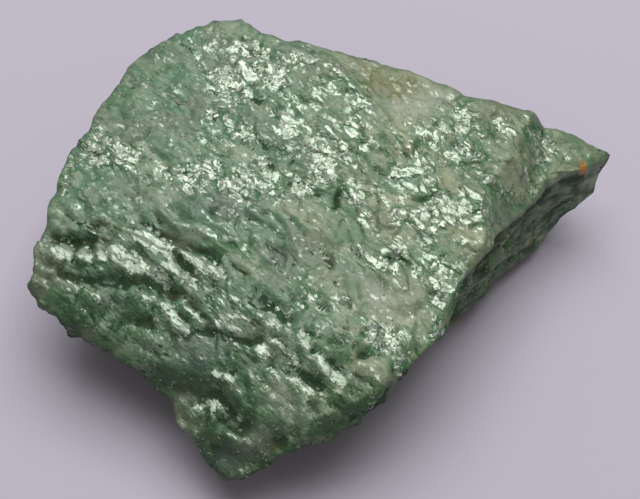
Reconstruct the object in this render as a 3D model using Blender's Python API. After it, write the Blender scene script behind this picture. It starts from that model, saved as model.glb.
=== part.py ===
"""Raw fuchsite: one lump of green chrome mica schist, broken from a vein, as one closed solid.

The lump is a tilted slab. Its upper face is a nearly level plateau of mica sheets that bends over a
folded shoulder into a slope at the front left. At the right the upper slab has broken off along a scarp
and a lower facet runs out to the pointed end. The walls are broken across the sheets and mostly lean in
towards the underside, which rests on a flat cleavage facet.

The shape is worked out in millimetres on the skin of a box of cells: the box's lid becomes the upper face,
its four sides become the wall and its bottom becomes the underside. +X is along the stone, towards the
pointed end, and +Z is up. The mesh itself is in metres.
"""

import bpy
import numpy as np

MM = 0.001
NAME = "raw_fuchsite"

# Driving dimensions, in millimetres.
PLATEAU_HEIGHT = 24.5          # the upper face above the origin
PLATEAU_RISE = (0.02, 0.15)    # its slope along X and Y
LEFT_HEIGHT = 29.0             # the fall to the left end, taken back to the origin
LEFT_RISE = 0.13
RIGHT_HEIGHT = 29.3            # the fall to the pointed end
RIGHT_FALL = 0.12
FRONT_SLOPE = 0.6              # the slope at the front left
FRONT_DIRECTION = (0.41, 0.91)  # the plan direction that it climbs in
FRONT_BEND = -18.4             # where it meets the plateau, along that direction
SLOPE_BLEND = 5.0              # how wide the change from plateau to slope is
LOWER_HEIGHT = 28.6            # the lower facet beyond the scarp, taken back to the origin
LOWER_FALL = 0.28              # its fall along X
LOWER_RISE = 0.15              # its rise along Y
GRAIN_ANGLE = -44.0            # degrees from X: the direction in plan that the sheets are drawn out in
GRAIN_STRETCH = 1.8            # how much longer the sheets' lumps are that way
SCARP_WIDTH = (2.6, 6.0)       # how wide the scarp is at the back and at the front
SCARP_EDGE = 0.7               # below 1, its upper edge is sharper than its foot
SCARP_CALM = 0.6               # how much smoother the ground beyond it is
RIM_DROP = 0.8                 # how far the broken rim is worn down
RIM_WEAR = 1.4                 # how wide that wear is
RIM_RAGGED = 0.55              # how far the rim wanders in and out
FOLD_SLOPE = 0.5               # how much a full fold takes off the slope
WRINKLE_HEIGHT = 0.16          # the fine wrinkles along the shoulder
WRINKLE_SPACING = 2.4
SHEET_STEP = 0.55              # the thickness of a broken mica sheet
SCALE_SIZE = 3.0               # how wide the broken scales of the upper face are
SCALE_LEAN = 0.20              # how steeply they lean
SCALE_EDGE = 9.0               # how sharply one gives way to the next
LEDGE_SHARE = 0.5              # how strongly the sheets' edges stand out of the wall
TIP = (47.0, 16.5)             # the pointed end, where the sheets' edges are worn smooth
TIP_REACH = 6.0                # how far from it the wear reaches
WALL_CURVE = 1.25              # above 1, the wall starts steep under the rim and leans in lower down
REST_SHARE = 0.56              # the flat facet's share of the underside's radius
FACET_BAND = 0.06              # points this near the rest plane belong to the facet

# The rim seen from above, anticlockwise from the front right corner: x, y, how far the foot of the wall
# stands in from the rim there, and the height of that foot.
RIM = [
    (20.7, -15.5, 5.0, 4.5),
    (21.6, -11.5, 2.6, 4.2),
    (26.0, -6.4, 1.8, 4.0),
    (27.6, -2.2, 0.6, 3.8),
    (30.6, 1.6, -0.8, 3.8),
    (34.6, 6.0, -2.0, 3.8),
    (37.4, 9.4, -2.0, 4.2),
    (40.6, 12.0, -1.4, 5.0),
    (44.2, 13.2, 0.2, 6.5),
    (47.4, 15.2, 1.4, 8.0),
    (48.3, 17.2, 2.4, 8.6),
    (43.6, 19.0, 3.5, 7.5),
    (39.8, 20.0, 4.5, 6.5),
    (36.3, 19.4, 4.5, 6.0),
    (34.4, 20.4, 4.5, 5.6),
    (26.4, 22.3, 5.0, 5.0),
    (18.0, 25.2, 5.0, 5.0),
    (9.1, 28.9, 5.0, 5.5),
    (4.1, 29.9, 5.0, 6.0),
    (-1.7, 32.1, 5.5, 6.0),
    (-9.8, 35.4, 6.0, 6.0),
    (-13.0, 37.8, 6.5, 6.5),
    (-17.2, 38.6, 7.0, 7.0),
    (-23.8, 36.8, 7.0, 7.0),
    (-28.8, 33.6, 6.5, 7.0),
    (-32.3, 29.6, 6.5, 6.5),
    (-34.4, 24.4, 6.5, 6.0),
    (-36.9, 19.8, 6.5, 6.0),
    (-40.2, 14.4, 6.5, 6.0),
    (-41.6, 9.0, 7.0, 6.0),
    (-43.3, 3.0, 8.0, 6.0),
    (-45.5, -5.0, 9.0, 6.0),
    (-45.6, -9.2, 8.5, 6.0),
    (-44.2, -12.0, 6.5, 6.0),
    (-40.0, -14.9, 6.5, 5.5),
    (-33.9, -19.2, 8.0, 5.0),
    (-26.1, -24.5, 9.0, 4.5),
    (-22.9, -27.0, 8.5, 4.5),
    (-22.3, -29.8, 8.5, 4.5),
    (-19.8, -31.9, 8.5, 4.5),
    (-17.0, -35.2, 8.5, 4.5),
    (-14.6, -37.6, 8.5, 4.5),
    (-11.8, -38.2, 8.5, 4.5),
    (-4.5, -36.0, 9.0, 4.5),
    (1.0, -33.6, 10.0, 4.5),
    (6.0, -31.4, 10.5, 4.5),
    (9.8, -28.2, 10.5, 4.5),
    (13.0, -25.0, 10.0, 4.5),
    (17.6, -20.6, 8.5, 4.5),
]

# The scarp's upper edge seen from above, from the back rim to the right rim.
SCARP = [(34.6, 20.5), (31.9, 15.6), (29.4, 9.8), (26.6, 4.3), (25.1, -1.0), (24.6, -4.0), (21.6, -11.2)]

# Folds in the mica sheets: how level the fold is, its half width, then its points seen from above.
FOLDS = [
    (1.2, 1.8, [(-41.8, -3.1), (-40.5, -4.3), (-38.5, -6.0)]),
    (1.2, 1.3, [(-37.6, -4.0), (-36.6, -5.5), (-35.6, -7.1)]),
    (1.0, 1.0, [(-34.7, -3.8), (-34.0, -5.7), (-33.2, -7.3)]),
    (1.2, 1.6, [(-33.2, -4.6), (-30.8, -6.6), (-28.6, -8.0), (-26.5, -9.1)]),
    (1.1, 0.9, [(-26.2, -9.1), (-24.7, -10.3), (-23.5, -11.6)]),
    (1.1, 1.5, [(-30.6, -1.6), (-27.2, -3.6), (-25.1, -5.6), (-23.1, -7.7), (-21.0, -10.2)]),
    (0.8, 0.9, [(-25.4, -3.0), (-23.7, -3.9), (-22.1, -5.1)]),
    (1.0, 1.3, [(-22.1, -4.9), (-18.6, -7.3), (-16.8, -8.6), (-14.8, -10.7)]),
    (1.0, 1.2, [(-9.3, -15.5), (-7.6, -16.9), (-5.8, -18.7)]),
    (0.8, 0.9, [(-3.6, -19.3), (-2.3, -20.6), (-1.2, -21.9)]),
    (1.0, 1.1, [(-1.2, -22.7), (0.3, -24.1), (1.8, -25.8), (3.9, -27.4)]),
    (1.0, 1.1, [(-4.7, -26.3), (-2.6, -27.4), (-0.7, -28.7)]),
    (0.6, 0.8, [(-14.7, -12.9), (-13.5, -13.8), (-11.9, -14.9)]),
    (0.9, 0.8, [(-19.7, -28.2), (-17.9, -28.0), (-16.0, -28.1), (-14.2, -29.4)]),
    (0.9, 0.8, [(-13.3, -29.7), (-11.9, -31.2)]),
    (0.7, 0.8, [(-37.5, -10.3), (-35.6, -11.5), (-33.8, -12.5)]),
    (0.8, 1.1, [(-24.3, -13.5), (-22.7, -15.4), (-21.0, -17.2), (-19.6, -18.8)]),
    (0.7, 0.8, [(-28.8, -11.6), (-27.0, -12.4), (-25.4, -13.6)]),
    (0.8, 0.9, [(-21.7, -13.2), (-20.1, -14.6), (-18.5, -16.8)]),
    (0.6, 0.8, [(-27.4, -17.3), (-25.5, -18.3)]),
    (0.8, 0.8, [(-16.6, -24.1), (-14.9, -24.9), (-13.2, -26.0)]),
    (0.8, 0.8, [(-9.6, -21.1), (-7.6, -22.4)]),
    (0.7, 0.8, [(-4.8, -22.3), (-3.5, -24.5)]),
    (0.5, 1.1, [(-2.1, -14.1), (-0.6, -15.6), (1.2, -17.5)]),
    (0.5, 0.8, [(-35.2, -1.6), (-32.6, -2.1), (-30.1, -1.9)]),
]

# Open cracks and troughs between the folds: depth, half width, points seen from above.
CRACKS = [
    (1.1, 1.0, [(-43.5, -1.7), (-41.2, -2.6), (-37.7, -3.2), (-35.1, -3.1), (-32.5, -3.7)]),
    (0.6, 0.7, [(-38.8, 0.2), (-35.9, -0.7), (-33.0, -0.7)]),
    (1.2, 1.1, [(-28.6, -0.4), (-25.7, -1.6), (-23.4, -3.2), (-20.5, -4.6), (-18.0, -6.0), (-15.2, -7.5)]),
    (0.3, 0.7, [(-23.0, -5.6), (-21.3, -7.3), (-19.8, -9.2), (-18.4, -10.9)]),
    (1.1, 1.2, [(-29.0, -9.7), (-26.3, -10.5), (-23.9, -11.9), (-21.9, -13.3)]),
    (0.7, 1.2, [(-41.0, -7.8), (-38.0, -9.1), (-34.7, -10.1), (-31.6, -10.8), (-29.1, -11.1)]),
    (0.6, 0.6, [(-20.8, -19.6), (-19.0, -18.3), (-17.4, -18.0), (-14.6, -19.4), (-11.0, -20.5), (-8, -20)]),
    (0.5, 1.2, [(-5.4, -23.6), (-3.0, -25.1), (-0.9, -26.7), (0.4, -28.3)]),
    (0.7, 1.1, [(-10.0, -13.3), (-7.6, -14.9), (-5.3, -16.7), (-3.5, -18.3)]),
    (0.5, 0.9, [(-30.6, -14.8), (-28.0, -16.0), (-25.3, -16.8)]),
    (1.4, 1.6, [(-8.9, -33.7), (-6.8, -34.4), (-5.1, -34.6)]),
    (0.8, 0.7, [(9.4, -7.8), (12.1, -7.5), (14.2, -8.8)]),
    (0.9, 0.9, [(5.4, -23.9), (7.5, -22.8), (10.4, -21.2)]),
    (0.7, 0.7, [(3.3, 4.2), (2.0, 0.4)]),
]

# Steps where the upper sheets end: drop, width, then the upper edge's points seen from above, with the
# lower ground on the right of its direction. Two on the lobe at the front left, and one at the front right.
STEPS = [
    (1.6, 1.8, [(-31.0, -24.5), (-28.0, -21.8), (-19.8, -24.0), (-15.0, -25.8), (-9.5, -30.2), (-4, -40)]),
    (0.9, 1.2, [(-22.5, -33.5), (-19.0, -32.2), (-16.0, -31.8), (-12.8, -33.4), (-8.5, -34.8), (-4.5, -39)]),
    (1.4, 1.4, [(-5.0, -38.0), (-3.0, -34.0), (4.0, -30.6), (9.1, -28.0), (12.6, -25.2), (17.0, -23.0)]),
]

# The bend between the plateau and the front slope, seen from above.
BEND = [(-43.4, -2.0), (-34.8, 0.8), (-25.1, -1.4), (-15.5, -6.7), (-7.7, -14.1), (0.0, -21.3), (12, -30)]

# Soft and hard sheets in the broken wall: depth below the rim, half thickness, and how far it stands out
# where it is at its strongest.
LAYERS = [(1.9, 0.7, -0.8), (3.2, 0.8, 0.8), (5.4, 1.0, -1.4), (8.2, 1.6, 0.6), (10.6, 0.9, -0.7)]

# Cells of the working mesh, and the number of triangles that the finished solid keeps.
CELLS = (150, 90, 24)
TRIANGLES = 9400

SEED = 41


def fade(share):
    """A rise from 0 to 1 with level ends: three times the square less twice the cube."""
    share = np.clip(share, 0.0, 1.0)
    return share * share * (3.0 - 2.0 * share)


def soft_min(first, second, blend):
    """The lower of two heights, rounded where they cross within the blend."""
    share = np.clip(0.5 + 0.5 * (second - first) / blend, 0.0, 1.0)
    return second + (first - second) * share - blend * share * (1.0 - share)


def hashed(i, j, k, seed):
    """A whole-number hash of each lattice point, spread evenly from -1 to 1."""
    mix = (i * 374761393 + j * 668265263 + k * 1442695041 + seed * 1274126177) & 0xFFFFFFFF
    mix = ((mix ^ (mix >> 13)) * 1274126177) & 0xFFFFFFFF
    return ((mix ^ (mix >> 16)) & 0xFFFF) / 32767.5 - 1.0


def noise(x, y, z, seed):
    """Hashes at the corners of unit cubes, blended across each cube with the fade curve."""
    i, j, k = (np.floor(value).astype(np.int64) for value in (x, y, z))
    u, v, w = fade(x - i), fade(y - j), fade(z - k)
    total = 0.0
    for corner in range(8):
        di, dj, dk = corner & 1, corner >> 1 & 1, corner >> 2
        weight = (u if di else 1 - u) * (v if dj else 1 - v) * (w if dk else 1 - w)
        total = total + weight * hashed(i + di, j + dj, k + dk, seed)
    return total


def rough(x, y, z, size, octaves, seed):
    """Noise of the given size plus finer copies, each half the size and a little over half the height."""
    total = 0.0
    for octave in range(octaves):
        scale = 2.0**octave / size
        total = total + 0.55**octave * noise(x * scale, y * scale, z * scale, seed + octave)
    return total


def stepped(height, step, steepness):
    """A height cut into sheets: flat treads one step apart, joined by short steep fades."""
    level = height / step
    tread = np.floor(level)
    return step * (tread + fade((level - tread - 0.5) * steepness + 0.5))


def line_place(x, y, points):
    """Plan distance to a line of points, positive on the right of its direction, and how much of the line
    is passed at the nearest point."""
    nearest = np.full(np.shape(x), np.inf)
    signed = np.zeros(np.shape(x))
    share = np.zeros(np.shape(x))
    legs = len(points) - 1
    for leg, ((ax, ay), (bx, by)) in enumerate(zip(points[:-1], points[1:])):
        dx, dy = bx - ax, by - ay
        along = np.clip(((x - ax) * dx + (y - ay) * dy) / (dx * dx + dy * dy), 0.0, 1.0)
        off_x, off_y = x - ax - along * dx, y - ay - along * dy
        distance = np.hypot(off_x, off_y)
        side = np.where(dy * off_x - dx * off_y >= 0.0, 1.0, -1.0)
        signed = np.where(distance < nearest, side * distance, signed)
        share = np.where(distance < nearest, (leg + along) / legs, share)
        nearest = np.minimum(distance, nearest)
    return signed, share


def line_distance(x, y, points):
    """Signed plan distance to a line of points."""
    return line_place(x, y, points)[0]


def along_grain(x, y):
    """Plan places turned to run along and across the grain, and squeezed along it to draw noise out."""
    turn = np.radians(GRAIN_ANGLE)
    along = x * np.cos(turn) + y * np.sin(turn)
    across = y * np.cos(turn) - x * np.sin(turn)
    return along / GRAIN_STRETCH, across


def scales(x, y, size, seed):
    """Broken scales: planes leaning at random round scattered centres, blended where they meet."""
    along, across = along_grain(x, y)
    u = along / size + 0.35 * rough(x, y, 47.0, 1.2 * size, 2, seed)
    v = across / size + 0.35 * rough(x, y, 53.0, 1.2 * size, 2, seed + 1)
    near_i, near_j = np.floor(u).astype(np.int64), np.floor(v).astype(np.int64)
    total = weight = 0.0
    for cell in range(9):
        i, j = near_i + cell % 3 - 1, near_j + cell // 3 - 1
        from_u = u - i - 0.5 - 0.4 * hashed(i, j, 0, seed)
        from_v = v - j - 0.5 - 0.4 * hashed(i, j, 1, seed)
        lean_u, lean_v, lift = hashed(i, j, 2, seed), hashed(i, j, 3, seed), hashed(i, j, 4, seed)
        plane = lean_u * from_u + lean_v * from_v + 0.3 * lift
        near = np.exp(-SCALE_EDGE * (from_u**2 + from_v**2))
        total, weight = total + near * plane, weight + near
    return size * total / weight


def beyond_scarp(x, y):
    """Nothing on the upper slab and one below the scarp, rising across it from its ragged upper edge."""
    width = SCARP_WIDTH[0] + (SCARP_WIDTH[1] - SCARP_WIDTH[0]) * fade((20.0 - y) / 10.0)
    ragged = 0.9 * rough(x, y, 0.0, 5.0, 3, SEED)
    return fade((line_distance(x, y, SCARP[::-1]) + ragged) / width) ** SCARP_EDGE


def broad_faces(x, y):
    """The upper face without its relief: four planes under one soft edge, the scarp and the steps."""
    climb = FRONT_DIRECTION[0] * x + FRONT_DIRECTION[1] * y
    plateau = PLATEAU_HEIGHT + PLATEAU_RISE[0] * x + PLATEAU_RISE[1] * y
    height = soft_min(plateau, LEFT_HEIGHT + LEFT_RISE * x, 4.0)
    height = soft_min(height, RIGHT_HEIGHT - RIGHT_FALL * x, 4.0)
    height = soft_min(height, PLATEAU_HEIGHT + FRONT_SLOPE * (climb - FRONT_BEND), 6.0)
    lower = LOWER_HEIGHT - LOWER_FALL * x + LOWER_RISE * y
    height = height + (np.minimum(height, lower) - height) * beyond_scarp(x, y)
    ragged = 0.6 * rough(x, y, 0.0, 5.0, 3, SEED)
    for drop, width, edge in STEPS:
        height = height - drop * fade((line_distance(x, y, edge) + ragged) / width)
    return height


def fold_profile(away, width):
    """Across one fold: an even rise over its width, so that a slope is level there, with steep returns."""
    return FOLD_SLOPE * away * np.exp(-((away / (1.35 * width)) ** 4))


def spindle(share):
    """How wide a fold or crack is along its line: nothing at its ends and full in the middle."""
    return np.sqrt(np.sin(np.pi * share)) + 0.05


def folds(x, y):
    """The folded sheets: narrow level terraces along their lines, with cracks cut in beside them."""
    warp_x = x + 0.3 * rough(x, y, 3.0, 3.0, 2, SEED + 5)
    warp_y = y + 0.3 * rough(x, y, 7.0, 3.0, 2, SEED + 6)
    height = 0.0
    for level, width, points in FOLDS:
        away, share = line_place(warp_x, warp_y, points)
        height = height + level * fold_profile(away, width * spindle(share))
    for depth, width, points in CRACKS:
        away, share = line_place(warp_x, warp_y, points)
        height = height - depth * spindle(share) * np.exp(-((away / width) ** 2))
    return height


def on_slope(x, y):
    """One on the folded front slope and nothing on the plateau."""
    return fade(-line_distance(x, y, BEND[::-1]) / SLOPE_BLEND + 0.35)


def wrinkles(x, y):
    """Fine parallel wrinkles along the shoulder: a sine across the folds, strongest on the bend."""
    across = 0.62 * x + 0.78 * y + 1.6 * rough(x, y, 11.0, 6.0, 2, SEED + 9)
    near_bend = np.exp(-((line_distance(x, y, BEND) / 7.0) ** 2))
    return WRINKLE_HEIGHT * near_bend * np.sin(2.0 * np.pi * across / WRINKLE_SPACING)


def top_height(x, y):
    """Height of the upper face: broad faces, folds, wrinkles, sheets with ragged edges, leaning scales."""
    along, across = along_grain(x, y)
    swell = 1.2 * rough(along, across, 17.0, 9.0, 4, SEED + 20)
    sheets = stepped(swell, SHEET_STEP, 3.0) - 0.5 * swell
    leaning = SCALE_LEAN * (1.0 - 0.5 * on_slope(x, y)) * scales(x, y, SCALE_SIZE, SEED + 30)
    calm = 1.0 - SCARP_CALM * beyond_scarp(x, y)
    return broad_faces(x, y) + folds(x, y) + wrinkles(x, y) + calm * (sheets + leaning)


def around(turn, values):
    """Values given at the rim's points, read at any share of a turn measured along the rim."""
    points = np.array([(x, y) for x, y, _, _ in RIM])
    closed = np.vstack([points, points[:1]])
    lengths = np.hypot(*np.diff(closed, axis=0).T)
    stations = np.concatenate([[0.0], np.cumsum(lengths)]) / lengths.sum()
    return np.interp(turn % 1.0, stations, np.append(values, values[0]))


def rim(turn):
    """The rim's plan position at each share of a turn, made ragged by scaling it in and out."""
    x = around(turn, [point[0] for point in RIM])
    y = around(turn, [point[1] for point in RIM])
    ragged = 1.0 + RIM_RAGGED * rough(x, y, 5.0, 4.0, 3, SEED + 40) / np.hypot(x, y)
    return x * ragged, y * ragged


def lid(reach, turn):
    """A point of the upper face: reach of the way from the middle to the rim, worn down near the rim."""
    rim_x, rim_y = rim(turn)
    x, y = reach * rim_x, reach * rim_y
    inside = (1.0 - reach) * np.hypot(rim_x, rim_y)
    return x, y, top_height(x, y) - RIM_DROP * np.exp(-inside / RIM_WEAR)


def foot(turn):
    """The foot of the wall: the rim moved in towards the middle, at the foot's own height."""
    rim_x, rim_y = rim(turn)
    inset = around(turn, [point[2] for point in RIM])
    height = around(turn, [point[3] for point in RIM])
    scale = 1.0 - inset / np.hypot(rim_x, rim_y)
    lumps = 0.8 * rough(rim_x, rim_y, 0.0, 7.0, 2, SEED + 50)
    return rim_x * scale, rim_y * scale, height + lumps


def wall(down, turn):
    """A point of the wall: the way down from rim to foot, pushed out and in along broken sheet edges."""
    rim_x, rim_y, rim_z = lid(1.0, turn)
    foot_x, foot_y, foot_z = foot(turn)
    inward = down**WALL_CURVE
    x = rim_x + (foot_x - rim_x) * inward
    y = rim_y + (foot_y - rim_y) * inward
    z = rim_z + (foot_z - rim_z) * down
    bedding = z - 0.10 * x - 0.12 * y
    lumps = 1.1 * rough(x, y, bedding, 9.0, 3, SEED + 60)
    ledges = stepped(1.6 * rough(0.25 * x, 0.25 * y, bedding, 2.4, 3, SEED + 70), 0.8, 4.0)
    edges = LEDGE_SHARE * ledges
    for depth, thickness, out in LAYERS:
        wobble = 1.5 * rough(x, y, 2.5 * depth, 13.0, 2, SEED + 75)
        strength = fade(0.55 + 1.2 * rough(x, y, 4.0 * depth, 9.0, 2, SEED + 77))
        edges = edges + strength * out * np.exp(-(((rim_z - z - depth - wobble) / thickness) ** 2))
    sharp = 1.0 - np.exp(-(((x - TIP[0]) ** 2 + (y - TIP[1]) ** 2) / TIP_REACH**2))
    push = lumps + sharp * edges
    push = push * fade(down / 0.12) * fade((1.0 - down) / 0.12) / np.hypot(x, y)
    return x * (1.0 + push), y * (1.0 + push), z


def underside(reach, turn):
    """A point of the underside: level over the rest facet, then rising in lumps and ledges to the foot."""
    foot_x, foot_y, foot_z = foot(turn)
    x, y = reach * foot_x, reach * foot_y
    facet = REST_SHARE + 0.07 * rough(foot_x, foot_y, 0.0, 14.0, 2, SEED + 80)
    rise = np.clip((reach - facet) / (1.0 - facet), 0.0, 1.0)
    lumps = 1.3 * rough(x, y, 29.0, 6.0, 4, SEED + 90)
    ledges = stepped(2.4 * rough(x, y, 37.0, 12.0, 3, SEED + 95), 1.1, 5.0)
    relief = (lumps + ledges) * fade(rise / 0.25) * fade((1.0 - rise) / 0.3)
    height = foot_z * rise**1.25
    return x, y, height + np.maximum(relief, -0.6 * height)


def box_skin(columns, rows, layers):
    """The skin of a box of cells: each point's whole-number place, and the quads that close it."""
    shape = (columns + 1, rows + 1, layers + 1)
    skin = np.ones(shape, bool)
    skin[1:-1, 1:-1, 1:-1] = False
    number = np.full(shape, -1)
    number[skin] = np.arange(skin.sum())
    quads = []
    for sheet, outward in (
        (number[:, :, -1], True), (number[:, :, 0], False),
        (number[:, 0, :], True), (number[:, -1, :], False),
        (number[0, :, :], False), (number[-1, :, :], True),
    ):
        corners = [sheet[:-1, :-1], sheet[1:, :-1], sheet[1:, 1:], sheet[:-1, 1:]]
        loop = np.stack(corners if outward else corners[::-1], axis=-1)
        quads.append(loop.reshape(-1, 4))
    return np.argwhere(skin), np.concatenate(quads)


def ring_place(i, j, columns, rows):
    """Where a cell corner lies on its ring: the ring's share of the way out, and its share of a turn."""
    a, b = 2.0 * i / columns - 1.0, 2.0 * j / rows - 1.0
    reach = np.maximum(np.abs(a), np.abs(b))
    safe = np.where(reach > 0.0, reach, 1.0)
    a, b = a / safe, b / safe
    sides = [a >= 1.0 - 1e-9, b >= 1.0 - 1e-9, a <= -1.0 + 1e-9]
    ways = [rows * (b + 1) / 2, rows + columns * (1 - a) / 2, rows + columns + rows * (1 - b) / 2]
    way = np.select(sides, ways, 2 * rows + columns + columns * (a + 1) / 2)
    return reach, way / (2.0 * (rows + columns))


def stone_points(places, columns, rows, layers):
    """Every skin point's position: the box's lid, sides and bottom become the stone's."""
    i, j, k = places.T
    reach, turn = ring_place(i, j, columns, rows)
    down = 1.0 - k / layers
    on_lid, on_bottom = k == layers, k == 0
    points = np.stack(wall(down, turn), axis=-1)
    points[on_lid] = np.stack(lid(reach[on_lid], turn[on_lid]), axis=-1)
    points[on_bottom] = np.stack(underside(reach[on_bottom], turn[on_bottom]), axis=-1)
    return points


def add_material(name, colour, roughness, metallic):
    """A Principled BSDF material of one colour."""
    material = bpy.data.materials.new(name)
    material.use_nodes = True
    shader = material.node_tree.nodes["Principled BSDF"]
    shader.inputs["Base Color"].default_value = (*colour, 1.0)
    shader.inputs["Roughness"].default_value = roughness
    shader.inputs["Metallic"].default_value = metallic
    material.diffuse_color = (*colour, 1.0)
    return material


def thin_out(stone, triangles):
    """Collapse the stone's mesh to a number of triangles, keeping its edges and lumps."""
    thinning = stone.modifiers.new("Thin out", "DECIMATE")
    thinning.ratio = triangles / (2 * len(stone.data.polygons))
    thinning.use_collapse_triangulate = True
    view = bpy.context.evaluated_depsgraph_get()
    thinned = bpy.data.meshes.new_from_object(stone.evaluated_get(view))
    stone.modifiers.remove(thinning)
    stone.data = thinned


def settle(mesh):
    """Press the rest facet flat, and centre the stone over the origin."""
    points = np.empty(3 * len(mesh.vertices))
    mesh.vertices.foreach_get("co", points)
    points = points.reshape(-1, 3)
    points[points[:, 2] < FACET_BAND * MM, 2] = 0.0
    middle = (points.min(axis=0) + points.max(axis=0)) / 2.0
    points[:, :2] -= middle[:2]
    mesh.vertices.foreach_set("co", points.ravel())
    mesh.update()


def make_stone():
    """The whole stone as one closed object with flat-shaded facets."""
    places, quads = box_skin(*CELLS)
    mesh = bpy.data.meshes.new(NAME)
    mesh.from_pydata((stone_points(places, *CELLS) * MM).tolist(), [], quads.tolist())
    stone = bpy.data.objects.new(NAME, mesh)
    bpy.context.scene.collection.objects.link(stone)
    thin_out(stone, TRIANGLES)
    settle(stone.data)
    stone.data.name = NAME
    stone.data.materials.clear()
    stone.data.materials.append(add_material("green_mica_schist", (0.17, 0.24, 0.17), 0.42, 0.1))
    return stone


for old in list(bpy.data.objects):
    bpy.data.objects.remove(old, do_unlink=True)
make_stone()
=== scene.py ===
# %% [markdown]
# # Raw fuchsite
# Fuchsite is a green mica that grows in thin sheets, packed together with some quartz into a schist. This
# lump was broken from a vein. Its upper face is one mica-covered surface that bends over a folded shoulder,
# and its walls are broken across the sheets. The lesson makes a fine skin for it, scatters mica flakes over
# that skin, gives both their finishes, and lights them softly.

import bpy
import numpy as np
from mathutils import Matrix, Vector


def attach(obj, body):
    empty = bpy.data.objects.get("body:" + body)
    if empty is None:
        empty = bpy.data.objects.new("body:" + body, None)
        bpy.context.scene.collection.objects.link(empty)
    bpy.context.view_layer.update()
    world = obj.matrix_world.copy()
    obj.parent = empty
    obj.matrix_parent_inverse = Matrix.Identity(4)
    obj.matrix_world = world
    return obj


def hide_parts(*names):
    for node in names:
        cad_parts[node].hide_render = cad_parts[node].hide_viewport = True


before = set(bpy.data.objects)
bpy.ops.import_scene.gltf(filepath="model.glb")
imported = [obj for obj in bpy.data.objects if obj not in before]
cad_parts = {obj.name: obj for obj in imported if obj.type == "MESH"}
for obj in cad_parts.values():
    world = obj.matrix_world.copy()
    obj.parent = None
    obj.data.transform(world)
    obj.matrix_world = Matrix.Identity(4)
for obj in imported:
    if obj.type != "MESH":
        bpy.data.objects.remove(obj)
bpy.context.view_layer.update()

STONE = "raw_fuchsite"

# %% [markdown]
# ## The stone's measures
# A broken stone has no drawing, but it still has measures: how high its faces stand, how they slope and
# where they meet. They could be sculpted by hand, but then nothing could be put right by a millimetre. Here
# each is a named number in millimetres, and the mesh is scaled to metres at the very end.

# %% Measures of the faces and the wall
MM = 0.001

# Driving dimensions, in millimetres.
PLATEAU_HEIGHT = 24.5          # the upper face above the origin
PLATEAU_RISE = (0.02, 0.15)    # its slope along X and Y
LEFT_HEIGHT = 29.0             # the fall to the left end, taken back to the origin
LEFT_RISE = 0.13
RIGHT_HEIGHT = 29.3            # the fall to the pointed end
RIGHT_FALL = 0.12
FRONT_SLOPE = 0.6              # the slope at the front left
FRONT_DIRECTION = (0.41, 0.91)  # the plan direction that it climbs in
FRONT_BEND = -18.4             # where it meets the plateau, along that direction
SLOPE_BLEND = 5.0              # how wide the change from plateau to slope is
LOWER_HEIGHT = 28.6            # the lower facet beyond the scarp, taken back to the origin
LOWER_FALL = 0.28              # its fall along X
LOWER_RISE = 0.15              # its rise along Y
FACE_BLEND = 4.0               # how gently the planes of the upper face meet
FRONT_BLEND = 6.0              # how gently the plateau meets the front slope
GRAIN_ANGLE = -44.0            # degrees from X: the direction in plan that the sheets are drawn out in
GRAIN_STRETCH = 1.8            # how much longer the sheets' lumps are that way
SCARP_WIDTH = (2.6, 6.0)       # how wide the scarp is at the back and at the front
SCARP_EDGE = 0.7               # below 1, its upper edge is sharper than its foot
SCARP_CALM = 0.6               # how much smoother the ground beyond it is
SCARP_RAGGED = 0.9             # how far its edge wanders
STEP_RAGGED = 0.6              # how far the steps' edges wander
EDGE_LUMP = 5.0                # the size of the lumps that they wander round
RIM_DROP = 0.8                 # how far the broken rim is worn down
RIM_WEAR = 1.4                 # how wide that wear is
RIM_RAGGED = 0.55              # how far the rim wanders in and out
FOLD_SLOPE = 0.5               # how much a full fold takes off the slope
FOLD_REACH = 1.35              # how far it goes on, in half widths, before its return
LINE_WANDER = 0.3              # how far the lines of folds and cracks wander
LINE_LUMP = 3.0                # the size of the lumps that they wander round
WRINKLE_HEIGHT = 0.16          # the fine wrinkles along the shoulder
WRINKLE_SPACING = 2.4
WRINKLE_ACROSS = (0.62, 0.78)  # the plan direction across them
WRINKLE_REACH = 7.0            # how far from the bend they reach
SWELL_HEIGHT = 1.2             # the slow swell of the upper face that is cut into sheets
SWELL_SIZE = 9.0
SHEET_STEP = 0.55              # the thickness of a broken mica sheet
SCALE_SIZE = 3.0               # how wide the broken scales of the upper face are
SCALE_LEAN = 0.20              # how steeply they lean
SCALE_EDGE = 9.0               # how sharply one gives way to the next
SHEET_DIP = (0.10, 0.12)       # how the sheets rise along X and Y, as the wall shows them
WALL_LUMP = 1.1                # how far the wall's broad lumps stand out
WALL_LUMP_SIZE = 9.0
WALL_CALM = 0.12               # the share of the wall at rim and foot where its relief fades away
LEDGE_SHARE = 0.5              # how strongly the sheets' edges stand out of the wall
TIP = (47.0, 16.5)             # the pointed end, where the sheets' edges are worn smooth
TIP_REACH = 6.0                # how far from it the wear reaches
WALL_CURVE = 1.25              # above 1, the wall starts steep under the rim and leans in lower down
REST_SHARE = 0.56              # the flat facet's share of the underside's radius
UNDER_CURVE = 1.25             # above 1, the underside leaves the facet gently

SEED = 41
print("upper face stands", PLATEAU_HEIGHT, "mm high at the middle")

# %% [markdown]
# ## The rim
# Seen from above, the stone has a straight back edge, a pointed right end and a lobe at the front. The rim
# is a list of its corners. Each also says how the wall under it leans: how far in its foot stands and how
# high that foot is. The scarp is the edge where the top slab has broken off at the right.

# %% Corners of the rim and the scarp

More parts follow.
